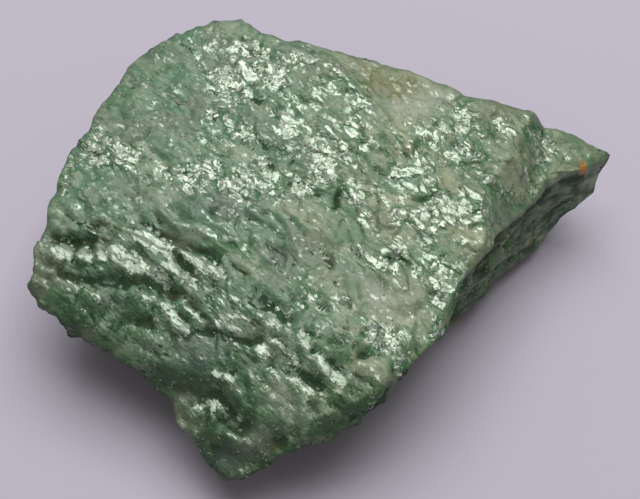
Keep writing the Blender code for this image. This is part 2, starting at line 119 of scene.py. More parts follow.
# The rim seen from above, anticlockwise from the front right corner: x, y, how far the foot of the wall
# stands in from the rim there, and the height of that foot.
RIM = [
    (20.7, -15.5, 5.0, 4.5), (21.6, -11.5, 2.6, 4.2), (26.0, -6.4, 1.8, 4.0), (27.6, -2.2, 0.6, 3.8),
    (30.6, 1.6, -0.8, 3.8), (34.6, 6.0, -2.0, 3.8), (37.4, 9.4, -2.0, 4.2), (40.6, 12.0, -1.4, 5.0),
    (44.2, 13.2, 0.2, 6.5), (47.4, 15.2, 1.4, 8.0), (48.3, 17.2, 2.4, 8.6), (43.6, 19.0, 3.5, 7.5),
    (39.8, 20.0, 4.5, 6.5), (36.3, 19.4, 4.5, 6.0), (34.4, 20.4, 4.5, 5.6), (26.4, 22.3, 5.0, 5.0),
    (18.0, 25.2, 5.0, 5.0), (9.1, 28.9, 5.0, 5.5), (4.1, 29.9, 5.0, 6.0), (-1.7, 32.1, 5.5, 6.0),
    (-9.8, 35.4, 6.0, 6.0), (-13.0, 37.8, 6.5, 6.5), (-17.2, 38.6, 7.0, 7.0), (-23.8, 36.8, 7.0, 7.0),
    (-28.8, 33.6, 6.5, 7.0), (-32.3, 29.6, 6.5, 6.5), (-34.4, 24.4, 6.5, 6.0), (-36.9, 19.8, 6.5, 6.0),
    (-40.2, 14.4, 6.5, 6.0), (-41.6, 9.0, 7.0, 6.0), (-43.3, 3.0, 8.0, 6.0), (-45.5, -5.0, 9.0, 6.0),
    (-45.6, -9.2, 8.5, 6.0), (-44.2, -12.0, 6.5, 6.0), (-40.0, -14.9, 6.5, 5.5),
    (-33.9, -19.2, 8.0, 5.0), (-26.1, -24.5, 9.0, 4.5), (-22.9, -27.0, 8.5, 4.5),
    (-22.3, -29.8, 8.5, 4.5), (-19.8, -31.9, 8.5, 4.5), (-17.0, -35.2, 8.5, 4.5),
    (-14.6, -37.6, 8.5, 4.5), (-11.8, -38.2, 8.5, 4.5), (-4.5, -36.0, 9.0, 4.5),
    (1.0, -33.6, 10.0, 4.5), (6.0, -31.4, 10.5, 4.5), (9.8, -28.2, 10.5, 4.5), (13.0, -25.0, 10.0, 4.5),
    (17.6, -20.6, 8.5, 4.5),
]

# The scarp's upper edge seen from above, from the back rim to the right rim.
SCARP = [(34.6, 20.5), (31.9, 15.6), (29.4, 9.8), (26.6, 4.3), (25.1, -1.0), (24.6, -4.0), (21.6, -11.2)]

print("rim corners:", len(RIM))

# %% [markdown]
# ## Folds, cracks and steps
# When the rock was squeezed, its sheets buckled into small folds along the shoulder, and cracks opened
# beside them. A texture could draw them, but real folds catch the light on one side and shade the other, so
# they are part of the shape. Each is a line seen from above with a height and a half width.

# %% Lines of the folds

# Folds in the mica sheets: how level the fold is, its half width, then its points seen from above.
FOLDS = [
    (1.2, 1.8, [(-41.8, -3.1), (-40.5, -4.3), (-38.5, -6.0)]),
    (1.2, 1.3, [(-37.6, -4.0), (-36.6, -5.5), (-35.6, -7.1)]),
    (1.0, 1.0, [(-34.7, -3.8), (-34.0, -5.7), (-33.2, -7.3)]),
    (1.2, 1.6, [(-33.2, -4.6), (-30.8, -6.6), (-28.6, -8.0), (-26.5, -9.1)]),
    (1.1, 0.9, [(-26.2, -9.1), (-24.7, -10.3), (-23.5, -11.6)]),
    (1.1, 1.5, [(-30.6, -1.6), (-27.2, -3.6), (-25.1, -5.6), (-23.1, -7.7), (-21.0, -10.2)]),
    (0.8, 0.9, [(-25.4, -3.0), (-23.7, -3.9), (-22.1, -5.1)]),
    (1.0, 1.3, [(-22.1, -4.9), (-18.6, -7.3), (-16.8, -8.6), (-14.8, -10.7)]),
    (1.0, 1.2, [(-9.3, -15.5), (-7.6, -16.9), (-5.8, -18.7)]),
    (0.8, 0.9, [(-3.6, -19.3), (-2.3, -20.6), (-1.2, -21.9)]),
    (1.0, 1.1, [(-1.2, -22.7), (0.3, -24.1), (1.8, -25.8), (3.9, -27.4)]),
    (1.0, 1.1, [(-4.7, -26.3), (-2.6, -27.4), (-0.7, -28.7)]),
    (0.6, 0.8, [(-14.7, -12.9), (-13.5, -13.8), (-11.9, -14.9)]),
    (0.9, 0.8, [(-19.7, -28.2), (-17.9, -28.0), (-16.0, -28.1), (-14.2, -29.4)]),
    (0.9, 0.8, [(-13.3, -29.7), (-11.9, -31.2)]),
    (0.7, 0.8, [(-37.5, -10.3), (-35.6, -11.5), (-33.8, -12.5)]),
    (0.8, 1.1, [(-24.3, -13.5), (-22.7, -15.4), (-21.0, -17.2), (-19.6, -18.8)]),
    (0.7, 0.8, [(-28.8, -11.6), (-27.0, -12.4), (-25.4, -13.6)]),
    (0.8, 0.9, [(-21.7, -13.2), (-20.1, -14.6), (-18.5, -16.8)]),
    (0.6, 0.8, [(-27.4, -17.3), (-25.5, -18.3)]),
    (0.8, 0.8, [(-16.6, -24.1), (-14.9, -24.9), (-13.2, -26.0)]),
    (0.8, 0.8, [(-9.6, -21.1), (-7.6, -22.4)]),
    (0.7, 0.8, [(-4.8, -22.3), (-3.5, -24.5)]),
    (0.5, 1.1, [(-2.1, -14.1), (-0.6, -15.6), (1.2, -17.5)]),
    (0.5, 0.8, [(-35.2, -1.6), (-32.6, -2.1), (-30.1, -1.9)]),
]

print("folds:", len(FOLDS))

# %% Lines of the cracks, the steps and the bend

# Open cracks and troughs between the folds: depth, half width, points seen from above.
CRACKS = [
    (1.1, 1.0, [(-43.5, -1.7), (-41.2, -2.6), (-37.7, -3.2), (-35.1, -3.1), (-32.5, -3.7)]),
    (0.6, 0.7, [(-38.8, 0.2), (-35.9, -0.7), (-33.0, -0.7)]),
    (1.2, 1.1, [(-28.6, -0.4), (-25.7, -1.6), (-23.4, -3.2), (-20.5, -4.6), (-18.0, -6.0), (-15.2, -7.5)]),
    (0.3, 0.7, [(-23.0, -5.6), (-21.3, -7.3), (-19.8, -9.2), (-18.4, -10.9)]),
    (1.1, 1.2, [(-29.0, -9.7), (-26.3, -10.5), (-23.9, -11.9), (-21.9, -13.3)]),
    (0.7, 1.2, [(-41.0, -7.8), (-38.0, -9.1), (-34.7, -10.1), (-31.6, -10.8), (-29.1, -11.1)]),
    (0.6, 0.6, [(-20.8, -19.6), (-19.0, -18.3), (-17.4, -18.0), (-14.6, -19.4), (-11.0, -20.5), (-8, -20)]),
    (0.5, 1.2, [(-5.4, -23.6), (-3.0, -25.1), (-0.9, -26.7), (0.4, -28.3)]),
    (0.7, 1.1, [(-10.0, -13.3), (-7.6, -14.9), (-5.3, -16.7), (-3.5, -18.3)]),
    (0.5, 0.9, [(-30.6, -14.8), (-28.0, -16.0), (-25.3, -16.8)]),
    (1.4, 1.6, [(-8.9, -33.7), (-6.8, -34.4), (-5.1, -34.6)]),
    (0.8, 0.7, [(9.4, -7.8), (12.1, -7.5), (14.2, -8.8)]),
    (0.9, 0.9, [(5.4, -23.9), (7.5, -22.8), (10.4, -21.2)]),
    (0.5, 0.4, [(3.9, 5.6), (3.0, 3.6), (2.6, 1.8), (1.7, -0.2)]),
]

# Steps where the upper sheets end: drop, width, then the upper edge's points seen from above, with the
# lower ground on the right of its direction. Two on the lobe at the front left, and one at the front right.
STEPS = [
    (1.6, 1.8, [(-31.0, -24.5), (-28.0, -21.8), (-19.8, -24.0), (-15.0, -25.8), (-9.5, -30.2), (-4, -40)]),
    (0.9, 1.2, [(-22.5, -33.5), (-19.0, -32.2), (-16.0, -31.8), (-12.8, -33.4), (-8.5, -34.8), (-4.5, -39)]),
    (1.4, 1.4, [(-5.0, -38.0), (-3.0, -34.0), (4.0, -30.6), (9.1, -28.0), (12.6, -25.2), (17.0, -23.0)]),
]

# The bend between the plateau and the front slope, seen from above.
BEND = [(-43.4, -2.0), (-34.8, 0.8), (-25.1, -1.4), (-15.5, -6.7), (-7.7, -14.1), (0.0, -21.3), (12, -30)]

# Soft and hard sheets in the broken wall: depth below the rim, half thickness, and how far it stands out
# where it is at its strongest.
LAYERS = [(1.9, 0.7, -0.8), (3.2, 0.8, 0.8), (5.4, 1.0, -1.4), (8.2, 1.6, 0.6), (10.6, 0.9, -0.7)]

print("cracks:", len(CRACKS), "steps:", len(STEPS), "layers in the wall:", len(LAYERS))

# %% [markdown]
# ## Roughness from hashed numbers
# Broken rock is irregular at every size. Noise gives that: a hash turns each lattice corner into a number
# that looks random but never changes, and blending between corners makes smooth hills. Adding copies at half
# the size each makes it rough at all sizes. Cutting a slow hill into treads makes broken sheets. Noise over
# the plan alone takes a fixed number as its third place, and another number or seed gives another pattern.

# %% Noise and sheets

def fade(share):
    """A rise from 0 to 1 with level ends: three times the square less twice the cube."""
    share = np.clip(share, 0.0, 1.0)
    return share * share * (3.0 - 2.0 * share)


def soft_min(first, second, blend):
    """The lower of two heights, rounded where they cross within the blend."""
    share = np.clip(0.5 + 0.5 * (second - first) / blend, 0.0, 1.0)
    return second + (first - second) * share - blend * share * (1.0 - share)


def hashed(i, j, k, seed):
    """A whole-number hash of each lattice point, spread evenly from -1 to 1."""
    mix = (i * 374761393 + j * 668265263 + k * 1442695041 + seed * 1274126177) & 0xFFFFFFFF
    mix = ((mix ^ (mix >> 13)) * 1274126177) & 0xFFFFFFFF
    return ((mix ^ (mix >> 16)) & 0xFFFF) / 32767.5 - 1.0


def noise(x, y, z, seed):
    """Hashes at the corners of unit cubes, blended across each cube with the fade curve."""
    i, j, k = (np.floor(value).astype(np.int64) for value in (x, y, z))
    u, v, w = fade(x - i), fade(y - j), fade(z - k)
    total = 0.0
    for corner in range(8):
        di, dj, dk = corner & 1, corner >> 1 & 1, corner >> 2
        weight = (u if di else 1 - u) * (v if dj else 1 - v) * (w if dk else 1 - w)
        total = total + weight * hashed(i + di, j + dj, k + dk, seed)
    return total


def rough(x, y, z, size, octaves, seed):
    """Noise of the given size plus finer copies, each half the size and a little over half the height."""
    total = 0.0
    for octave in range(octaves):
        scale = 2.0**octave / size
        total = total + 0.55**octave * noise(x * scale, y * scale, z * scale, seed + octave)
    return total


def stepped(height, step, steepness):
    """A height cut into sheets: flat treads one step apart, joined by short steep fades."""
    level = height / step
    tread = np.floor(level)
    return step * (tread + fade((level - tread - 0.5) * steepness + 0.5))


print("noise at one place:", round(float(rough(np.array([1.5]), np.array([2.5]), 0.0, 5.0, 3, SEED)[0]), 3))

# %% [markdown]
# ## Lines and the grain
# Folds, cracks, steps and the scarp all follow lines seen from above, so one function says how far a place is
# from a line, on which side, and how far along. The rock is drawn out one way, its grain, and a second
# function turns and squeezes the plan, so that noise worked out there comes out long that way.

# %% Distance to a line, and the grain

def line_place(x, y, points):
    """Plan distance to a line of points, positive on the right of its direction, and how much of the line
    is passed at the nearest point."""
    nearest = np.full(np.shape(x), np.inf)
    signed = np.zeros(np.shape(x))
    share = np.zeros(np.shape(x))
    legs = len(points) - 1
    for leg, ((ax, ay), (bx, by)) in enumerate(zip(points[:-1], points[1:])):
        dx, dy = bx - ax, by - ay
        along = np.clip(((x - ax) * dx + (y - ay) * dy) / (dx * dx + dy * dy), 0.0, 1.0)
        off_x, off_y = x - ax - along * dx, y - ay - along * dy
        distance = np.hypot(off_x, off_y)
        side = np.where(dy * off_x - dx * off_y >= 0.0, 1.0, -1.0)
        signed = np.where(distance < nearest, side * distance, signed)
        share = np.where(distance < nearest, (leg + along) / legs, share)
        nearest = np.minimum(distance, nearest)
    return signed, share


def line_distance(x, y, points):
    """Signed plan distance to a line of points."""
    return line_place(x, y, points)[0]


def along_grain(x, y):
    """Plan places turned to run along and across the grain, and squeezed along it to draw noise out."""
    turn = np.radians(GRAIN_ANGLE)
    along = x * np.cos(turn) + y * np.sin(turn)
    across = y * np.cos(turn) - x * np.sin(turn)
    return along / GRAIN_STRETCH, across


print("bend length, mm:", round(float(np.hypot(*np.diff(np.array(BEND), axis=0).T).sum()), 1))

# %% [markdown]
# ## Broken scales
# Torn mica ends in scales that each lean their own way. Random planes round scattered centres give that, and
# a steep blend between neighbours leaves a crisp border without a gap.

# %% Leaning scales

def scales(x, y, size, seed):
    """Broken scales: planes leaning at random round scattered centres, blended where they meet."""
    along, across = along_grain(x, y)
    u = along / size + 0.35 * rough(x, y, 47.0, 1.2 * size, 2, seed)
    v = across / size + 0.35 * rough(x, y, 53.0, 1.2 * size, 2, seed + 1)
    near_i, near_j = np.floor(u).astype(np.int64), np.floor(v).astype(np.int64)
    total = weight = 0.0
    for cell in range(9):
        i, j = near_i + cell % 3 - 1, near_j + cell // 3 - 1
        from_u = u - i - 0.5 - 0.4 * hashed(i, j, 0, seed)
        from_v = v - j - 0.5 - 0.4 * hashed(i, j, 1, seed)
        lean_u, lean_v, lift = hashed(i, j, 2, seed), hashed(i, j, 3, seed), hashed(i, j, 4, seed)
        plane = lean_u * from_u + lean_v * from_v + 0.3 * lift
        near = np.exp(-SCALE_EDGE * (from_u**2 + from_v**2))
        total, weight = total + near * plane, weight + near
    return size * total / weight


lean = scales(np.linspace(-40.0, 40.0, 400), np.zeros(400), SCALE_SIZE, SEED)
print("scales before leaning, mm:", lean.min().round(1), "to", lean.max().round(1))

# %% [markdown]
# ## The broad faces
# The upper face is worked out as a height over the plan, and its broad planes come first. The lower of two
# planes, rounded where they cross, makes a bend. The scarp and the steps are drops with ragged edges.

# %% Broad faces, scarp and steps

def beyond_scarp(x, y):
    """Nothing on the upper slab and one below the scarp, rising across it from its ragged upper edge."""
    width = SCARP_WIDTH[0] + (SCARP_WIDTH[1] - SCARP_WIDTH[0]) * fade((20.0 - y) / 10.0)
    ragged = SCARP_RAGGED * rough(x, y, 0.0, EDGE_LUMP, 3, SEED)
    return fade((line_distance(x, y, SCARP[::-1]) + ragged) / width) ** SCARP_EDGE


def broad_faces(x, y):
    """The upper face without its relief: four planes under one soft edge, the scarp and the steps."""
    climb = FRONT_DIRECTION[0] * x + FRONT_DIRECTION[1] * y
    plateau = PLATEAU_HEIGHT + PLATEAU_RISE[0] * x + PLATEAU_RISE[1] * y
    height = soft_min(plateau, LEFT_HEIGHT + LEFT_RISE * x, FACE_BLEND)
    height = soft_min(height, RIGHT_HEIGHT - RIGHT_FALL * x, FACE_BLEND)
    height = soft_min(height, PLATEAU_HEIGHT + FRONT_SLOPE * (climb - FRONT_BEND), FRONT_BLEND)
    lower = LOWER_HEIGHT - LOWER_FALL * x + LOWER_RISE * y
    height = height + (np.minimum(height, lower) - height) * beyond_scarp(x, y)
    ragged = STEP_RAGGED * rough(x, y, 0.0, EDGE_LUMP, 3, SEED)
    for drop, width, edge in STEPS:
        height = height - drop * fade((line_distance(x, y, edge) + ragged) / width)
    return height


print("fall to the front left, mm:", round(float(broad_faces(0.0, 0.0) - broad_faces(-30.0, -20.0)), 1))

# %% [markdown]
# ## Folds, cracks and wrinkles
# A fold on a slope is a narrow level terrace with a steep return, and that is what catches the light. Noise
# moves the lines to and fro, so that none runs dead straight, and each narrows to nothing at its ends.

# %% Folds, cracks and wrinkles

def fold_profile(away, width):
    """Across one fold: an even rise over its width, so that a slope is level there, with steep returns."""
    return FOLD_SLOPE * away * np.exp(-((away / (FOLD_REACH * width)) ** 4))


def spindle(share):
    """How wide a fold or crack is along its line: nothing at its ends and full in the middle."""
    return np.sqrt(np.sin(np.pi * share)) + 0.05


def moved_plan(x, y):
    """Plan places moved to and fro by noise, as the lines run round the grains."""
    return (x + LINE_WANDER * rough(x, y, 3.0, LINE_LUMP, 2, SEED + 5),
            y + LINE_WANDER * rough(x, y, 7.0, LINE_LUMP, 2, SEED + 6))


def folds(x, y):
    """The folded sheets: narrow level terraces along their lines, with cracks cut in beside them."""
    warp_x, warp_y = moved_plan(x, y)
    height = 0.0
    for level, width, points in FOLDS:
        away, share = line_place(warp_x, warp_y, points)
        height = height + level * fold_profile(away, width * spindle(share))
    for depth, width, points in CRACKS:
        away, share = line_place(warp_x, warp_y, points)
        height = height - depth * spindle(share) * np.exp(-((away / width) ** 2))
    return height


def on_slope(x, y):
    """One on the folded front slope and nothing on the plateau."""
    return fade(-line_distance(x, y, BEND[::-1]) / SLOPE_BLEND + 0.35)


def wrinkles(x, y):
    """Fine parallel wrinkles along the shoulder: a sine across the folds, strongest on the bend."""
    across = WRINKLE_ACROSS[0] * x + WRINKLE_ACROSS[1] * y + 1.6 * rough(x, y, 11.0, 6.0, 2, SEED + 9)
    near_bend = np.exp(-((line_distance(x, y, BEND) / WRINKLE_REACH) ** 2))
    return WRINKLE_HEIGHT * near_bend * np.sin(2.0 * np.pi * across / WRINKLE_SPACING)


print("wrinkles are", WRINKLE_HEIGHT, "mm high and", WRINKLE_SPACING, "mm apart")

# %% [markdown]
# ## Where the bright mica lies
# The silvery mica isn't even. It shows in torn patches on the upper face, along the crests of the folds and
# beside the right rim. Each patch is an ellipse seen from above, and noise tears its edge. The list is given
# one by one, because where the patches lie is what makes this stone this stone.

# %% Patches of bright mica
# Middle x and y, half length along X, half width along Y, all in millimetres, and how much mica it has.
# Where the patches and the fold crests lie, the skin's body is painted paler: partly the mica's own silvery
# colour and partly painted sheen.
MICA_PATCHES = [
    (-11.6, 31.6, 2.0, 2.0, 1.1), (-15.5, 24.5, 3.3, 3.4, 0.8), (-8.0, 25.0, 3.2, 2.4, 1.0),
    (-2.5, 28.5, 2.3, 1.9, 0.7), (-24.0, 24.0, 1.7, 1.5, 0.7), (-22.5, 27.0, 1.0, 1.2, 0.6),
    (-36.0, 13.8, 2.6, 2.4, 1.1), (-32.4, 11.3, 2.9, 2.6, 1.0), (-5.0, 15.0, 2.0, 2.6, 0.7),
    (-12.0, 14.0, 1.8, 1.4, 0.7), (-19.5, 8.0, 3.1, 2.0, 1.0), (-19.5, 5.0, 2.6, 1.2, 0.7),
    (-10.5, 6.0, 4.6, 3.9, 0.9), (-7.5, 3.0, 2.2, 1.3, 0.7), (4.0, 19.5, 4.5, 5.1, 0.6),
    (2.0, 10.0, 3.2, 2.5, 0.6), (23.5, 19.0, 2.3, 2.8, 0.9), (6.5, 2.5, 4.0, 3.6, 0.6),
    (29.5, 17.0, 1.9, 1.1, 0.8), (18.0, 14.0, 3.3, 2.6, 0.8), (23.2, 11.4, 2.8, 2.0, 0.9),
    (25.5, 10.0, 1.8, 1.5, 0.7), (21.5, 2.0, 3.5, 2.3, 0.9), (18.0, -2.5, 2.7, 1.8, 0.8),
    (22.0, -5.0, 1.1, 1.2, 0.7), (11.5, -8.5, 3.2, 1.9, 0.8), (19.0, -10.0, 3.3, 6.2, 0.9),
    (9.5, -21.0, 3.2, 2.1, 0.9), (-40.0, -4.6, 1.9, 1.2, 1.0), (-36.6, -5.3, 2.0, 1.2, 1.0),
    (-33.8, -5.2, 1.6, 1.2, 0.8), (-31.0, -6.3, 2.4, 1.3, 1.0), (-27.8, -8.3, 2.2, 1.5, 1.0),
    (-24.2, -4.9, 2.6, 1.3, 0.9), (-20.8, -7.4, 1.8, 1.5, 0.9), (36.6, 17.0, 2.2, 2.2, 0.9),
    (33.0, 9.0, 3.2, 8.0, 0.42), (-25.0, -9.6, 2.4, 1.4, 1.0), (22.6, 15.7, 1.8, 1.6, 0.9),
    (-13.9, -30.0, 2.0, 1.0, 0.7), (12.4, -6.6, 1.8, 1.8, 1.0), (-35.2, 10.8, 2.0, 1.8, 1.1),
    (-21.1, -9.2, 2.2, 1.4, 1.0), (24.2, 20.5, 1.8, 1.6, 0.9), (-3.2, 4.5, 1.8, 1.6, 0.8),
    (36.0, 13.2, 1.6, 1.8, 0.7), (13.2, -24.6, 1.8, 1.6, 1.0), (-36.6, 16.6, 1.6, 1.4, 0.9),
    (3.3, 25.3, 2.0, 1.6, 0.8), (12.5, -0.3, 1.6, 1.6, 0.8), (-4.2, 28.6, 2.4, 1.4, 1.0),
    (8.4, -30.0, 1.8, 1.2, 0.9), (-17.0, 26.4, 2.0, 1.6, 1.1), (21.6, -8.6, 1.4, 1.8, 1.0),
    (-9.8, 30.2, 2.2, 1.6, 1.1), (0.6, 6.6, 2.2, 1.8, 0.9), (-1.9, 11.8, 1.8, 1.6, 0.9),
    (15.7, -0.2, 1.8, 1.9, 0.8), (15.4, -9.9, 1.8, 1.8, 0.8), (-16.5, -18.0, 2.2, 1.0, 0.7),
    (18.6, -19.4, 1.8, 2.2, 1.1), (-40.8, 9.0, 1.4, 4.0, 0.6), (-1.2, -14.3, 1.8, 1.2, 0.7),
    (22.0, 9.0, 9.0, 11.0, 0.50), (-5.0, 24.0, 12.0, 9.0, 0.25), (-1.6, 28.2, 1.8, 1.4, 1.0),
    (-5.4, 11.4, 1.6, 1.6, 0.8), (16.6, -4.4, 1.6, 1.8, 0.9), (30.2, 4.4, 1.2, 1.8, 0.7),
    (33.2, 9.4, 1.2, 1.6, 0.7), (-17.8, -18.0, 1.8, 1.2, 0.9), (4.4, 23.4, 1.6, 1.4, 0.7),
    (24.6, 10.6, 1.6, 1.4, 1.1), (-39.7, -3.6, 1.4, 1.0, 1.1), (-7.3, -15.9, 1.8, 1.0, 1.0),
    (-24.0, -10.5, 1.4, 1.0, 0.9), (-40.4, 10.6, 1.2, 1.6, 0.9),
]

print("patches of mica:", len(MICA_PATCHES))

# %% How much mica a place has

def patches(x, y, table):
    """The strongest of a table's ellipses at each place: one in the middle, falling smoothly to nothing."""
    best = np.zeros(np.shape(x))
    for middle_x, middle_y, half_x, half_y, strength in table:
        away = ((x - middle_x) / half_x) ** 2 + ((y - middle_y) / half_y) ** 2
        best = np.maximum(best, strength * np.exp(-0.7 * away))
    return best


def crest_mica(x, y):
    """Mica on the folds' level sides: as much as the fold is level, ending sharply at its edges."""
    best = np.zeros(np.shape(x))
    for level, width, points in FOLDS:
        away, share = line_place(x, y, points)
        best = np.maximum(best, level * np.exp(-((away / (width * spindle(share))) ** 4)))
    return best


def tears(x, y):
    """The noise that tears the edges of every kind of patch."""
    return rough(x, y, 51.0, 3.0, 4, SEED + 140)


def mica_share(x, y):
    """How much bright mica lies at each place: patches and crests, with edges torn by noise."""
    torn = 0.30 * tears(x, y) + 0.25 * rough(x, y, 59.0, 8.0, 2, SEED + 145)
    return np.maximum(patches(x, y, MICA_PATCHES), 0.8 * crest_mica(x, y)) + torn


print("mica at the middle:", round(float(mica_share(np.array([0.0]), np.array([0.0]))[0]), 2))

# %% [markdown]
# ## Small scales, small folds and the whole upper face
# The mica breaks into scales about a millimetre and a half across that each lean their own way, more where
# the bright mica lies than on the rock between. On the front slope the sheets are also wrinkled into folds
# about a millimetre wide and a few long. The foot at the front is broken into sharp-crested lumps.

# %% Small scales, small folds and the whole upper face
SMALL_SCALE = 1.5      # millimetres
TINY_FOLD = 1.4        # millimetres
TINY_FOLD_LONG = 3.0   # how much longer than wide
FOOT_START = -26.0     # millimetres
FOOT_LUMP = 3.4        # millimetres


def tiny_folds(x, y):
    """Sharp crests from drawn-out noise: one less the noise's size, in drifting patches."""
    along, across = along_grain(x, y)
    wave = rough(along * GRAIN_STRETCH / TINY_FOLD_LONG, across, 61.0, TINY_FOLD, 2, SEED + 120)
    drift = fade(0.6 + 1.1 * rough(x, y, 67.0, 6.0, 2, SEED + 125))
    return on_slope(x, y) * drift * np.clip(1.0 - 2.4 * np.abs(wave), 0.0, 1.0)


def foot_lumps(x, y):
    """Sharp-crested lumps on the broken front foot, growing forward from its start, and 0 elsewhere."""
    share = fade((FOOT_START - y) / 5.0) * fade((3.0 - x) / 6.0)
    wave = rough(0.7 * x, y, 71.0, FOOT_LUMP, 3, SEED + 150)
    return share * (np.clip(1.0 - 2.2 * np.abs(wave), 0.0, 1.0) - 0.4)


def fine_relief(x, y):
    """Leaning scales, a crinkle, tiny folds, lumps on the foot and crumbs below the scarp."""
    along, across = along_grain(x, y)
    bright = fade((mica_share(x, y) - 0.2) / 0.4)
    leaning = (0.10 + 0.14 * bright) * (1.0 - 0.6 * on_slope(x, y)) * scales(x, y, SMALL_SCALE, SEED + 100)
    crinkle = 0.05 * rough(along, across, 43.0, 1.0, 2, SEED + 110)
    crumbs = 0.22 * beyond_scarp(x, y) * rough(x, y, 73.0, 1.8, 3, SEED + 155)
    return leaning + crinkle + crumbs + 0.30 * tiny_folds(x, y) + 0.75 * foot_lumps(x, y)


def top_height(x, y):
    """Height of the upper face: broad faces, folds, wrinkles, sheets with ragged edges, leaning scales."""
    along, across = along_grain(x, y)
    swell = SWELL_HEIGHT * rough(along, across, 17.0, SWELL_SIZE, 4, SEED + 20)
    sheets = stepped(swell, SHEET_STEP, 3.0) - 0.5 * swell
    leaning = SCALE_LEAN * (1.0 - 0.5 * on_slope(x, y)) * scales(x, y, SCALE_SIZE, SEED + 30)
    calm = 1.0 - SCARP_CALM * beyond_scarp(x, y)
    relief = calm * (sheets + leaning) + fine_relief(x, y)
    return broad_faces(x, y) + folds(x, y) + wrinkles(x, y) + relief


print("height at the middle, mm:", round(float(top_height(np.array([0.0]), np.array([0.0]))[0]), 2))

# %% [markdown]
# ## The rim and the lid
# A stone could be one displaced sphere, but a sphere's rings bunch at its poles. Here the skin of a box of
# cells is used: its lid becomes the upper face, its sides the wall and its bottom the underside. Each is a
# function of two numbers, the share of a turn round the rim, and the way out from the middle or down the
# wall. Where two of them meet they give the same points, so that the skin is closed.

# %% Rim and lid

def around(turn, values):
    """Values given at the rim's points, read at any share of a turn measured along the rim."""
    points = np.array([(x, y) for x, y, _, _ in RIM])
    closed = np.vstack([points, points[:1]])
    lengths = np.hypot(*np.diff(closed, axis=0).T)
    stations = np.concatenate([[0.0], np.cumsum(lengths)]) / lengths.sum()
    return np.interp(turn % 1.0, stations, np.append(values, values[0]))


def rim(turn):
    """The rim's plan position at each share of a turn, made ragged by scaling it in and out."""
    x = around(turn, [point[0] for point in RIM])
    y = around(turn, [point[1] for point in RIM])
    ragged = 1.0 + RIM_RAGGED * rough(x, y, 5.0, 4.0, 3, SEED + 40) / np.hypot(x, y)
    return x * ragged, y * ragged


def lid(reach, turn):
    """A point of the upper face: reach of the way from the middle to the rim, worn down near the rim."""
    rim_x, rim_y = rim(turn)
    x, y = reach * rim_x, reach * rim_y
    inside = (1.0 - reach) * np.hypot(rim_x, rim_y)
    return x, y, top_height(x, y) - RIM_DROP * np.exp(-inside / RIM_WEAR)


print("rim length, mm:", round(float(np.hypot(*np.diff(rim(np.linspace(0, 1, 600)), axis=1)).sum()), 1))

# %% [markdown]
# ## The wall
# The wall is broken across the sheets, so it shows their edges: soft sheets lie back, hard ones stand out,
# and thin ones make small ledges. Noise that is long across the wall and short down it gives them. The push
# out and in fades away at the rim and at the foot, where the wall has to meet its neighbours.

# %% Wall

def thin_ledges(x, y, bedding):
    """Edges of thin sheets in the wall: noise stretched along the sheets and cut into small treads."""
    edges = rough(0.3 * x, 0.3 * y, bedding, 0.9, 2, SEED + 120)
    return stepped(0.55 * edges, 0.25, 5.0) + 0.18 * rough(x, y, bedding, 1.3, 3, SEED + 130)


def foot(turn):
    """The foot of the wall: the rim moved in towards the middle, at the foot's own height."""
    rim_x, rim_y = rim(turn)
    inset = around(turn, [point[2] for point in RIM])
    height = around(turn, [point[3] for point in RIM])
    scale = 1.0 - inset / np.hypot(rim_x, rim_y)
    lumps = 0.8 * rough(rim_x, rim_y, 0.0, 7.0, 2, SEED + 50)
    return rim_x * scale, rim_y * scale, height + lumps


def wall(down, turn):
    """A point of the wall: the way down from rim to foot, pushed out and in along broken sheet edges."""
    rim_x, rim_y, rim_z = lid(1.0, turn)
    foot_x, foot_y, foot_z = foot(turn)
    inward = down**WALL_CURVE
    x = rim_x + (foot_x - rim_x) * inward
    y = rim_y + (foot_y - rim_y) * inward
    z = rim_z + (foot_z - rim_z) * down
    bedding = z - SHEET_DIP[0] * x - SHEET_DIP[1] * y
    lumps = WALL_LUMP * rough(x, y, bedding, WALL_LUMP_SIZE, 3, SEED + 60)
    ledges = stepped(1.6 * rough(0.25 * x, 0.25 * y, bedding, 2.4, 3, SEED + 70), 0.8, 4.0)
    edges = LEDGE_SHARE * ledges + thin_ledges(x, y, bedding)
    for depth, thickness, out in LAYERS:
        wobble = 1.5 * rough(x, y, 2.5 * depth, 13.0, 2, SEED + 75)
        strength = fade(0.55 + 1.2 * rough(x, y, 4.0 * depth, 9.0, 2, SEED + 77))
        edges = edges + strength * out * np.exp(-(((rim_z - z - depth - wobble) / thickness) ** 2))
    sharp = 1.0 - np.exp(-(((x - TIP[0]) ** 2 + (y - TIP[1]) ** 2) / TIP_REACH**2))
    push = lumps + sharp * edges
    push = push * fade(down / WALL_CALM) * fade((1.0 - down) / WALL_CALM) / np.hypot(x, y)
    return x * (1.0 + push), y * (1.0 + push), z


foot_height = foot(np.linspace(0.0, 1.0, 600))[2]
print("foot of the wall stands", foot_height.min().round(1), "to", foot_height.max().round(1), "mm high")

# %% [markdown]
# ## The underside
# The stone rests on one flat facet near its middle. Round it the underside rises in lumps and ledges to the
# foot of the wall, and nothing hangs lower than the facet.

# %% Underside

def underside(reach, turn):
    """A point of the underside: level over the rest facet, then rising in lumps and ledges to the foot."""
    foot_x, foot_y, foot_z = foot(turn)
    x, y = reach * foot_x, reach * foot_y
    facet = REST_SHARE + 0.07 * rough(foot_x, foot_y, 0.0, 14.0, 2, SEED + 80)
    rise = np.clip((reach - facet) / (1.0 - facet), 0.0, 1.0)
    lumps = 1.3 * rough(x, y, 29.0, 6.0, 4, SEED + 90)
    ledges = stepped(2.4 * rough(x, y, 37.0, 12.0, 3, SEED + 95), 1.1, 5.0)
    relief = (lumps + ledges) * fade(rise / 0.25) * fade((1.0 - rise) / 0.3)
    height = foot_z * rise**UNDER_CURVE
    return x, y, height + np.maximum(relief, -0.6 * height)


print("resting facet, share of the underside's reach:", REST_SHARE)

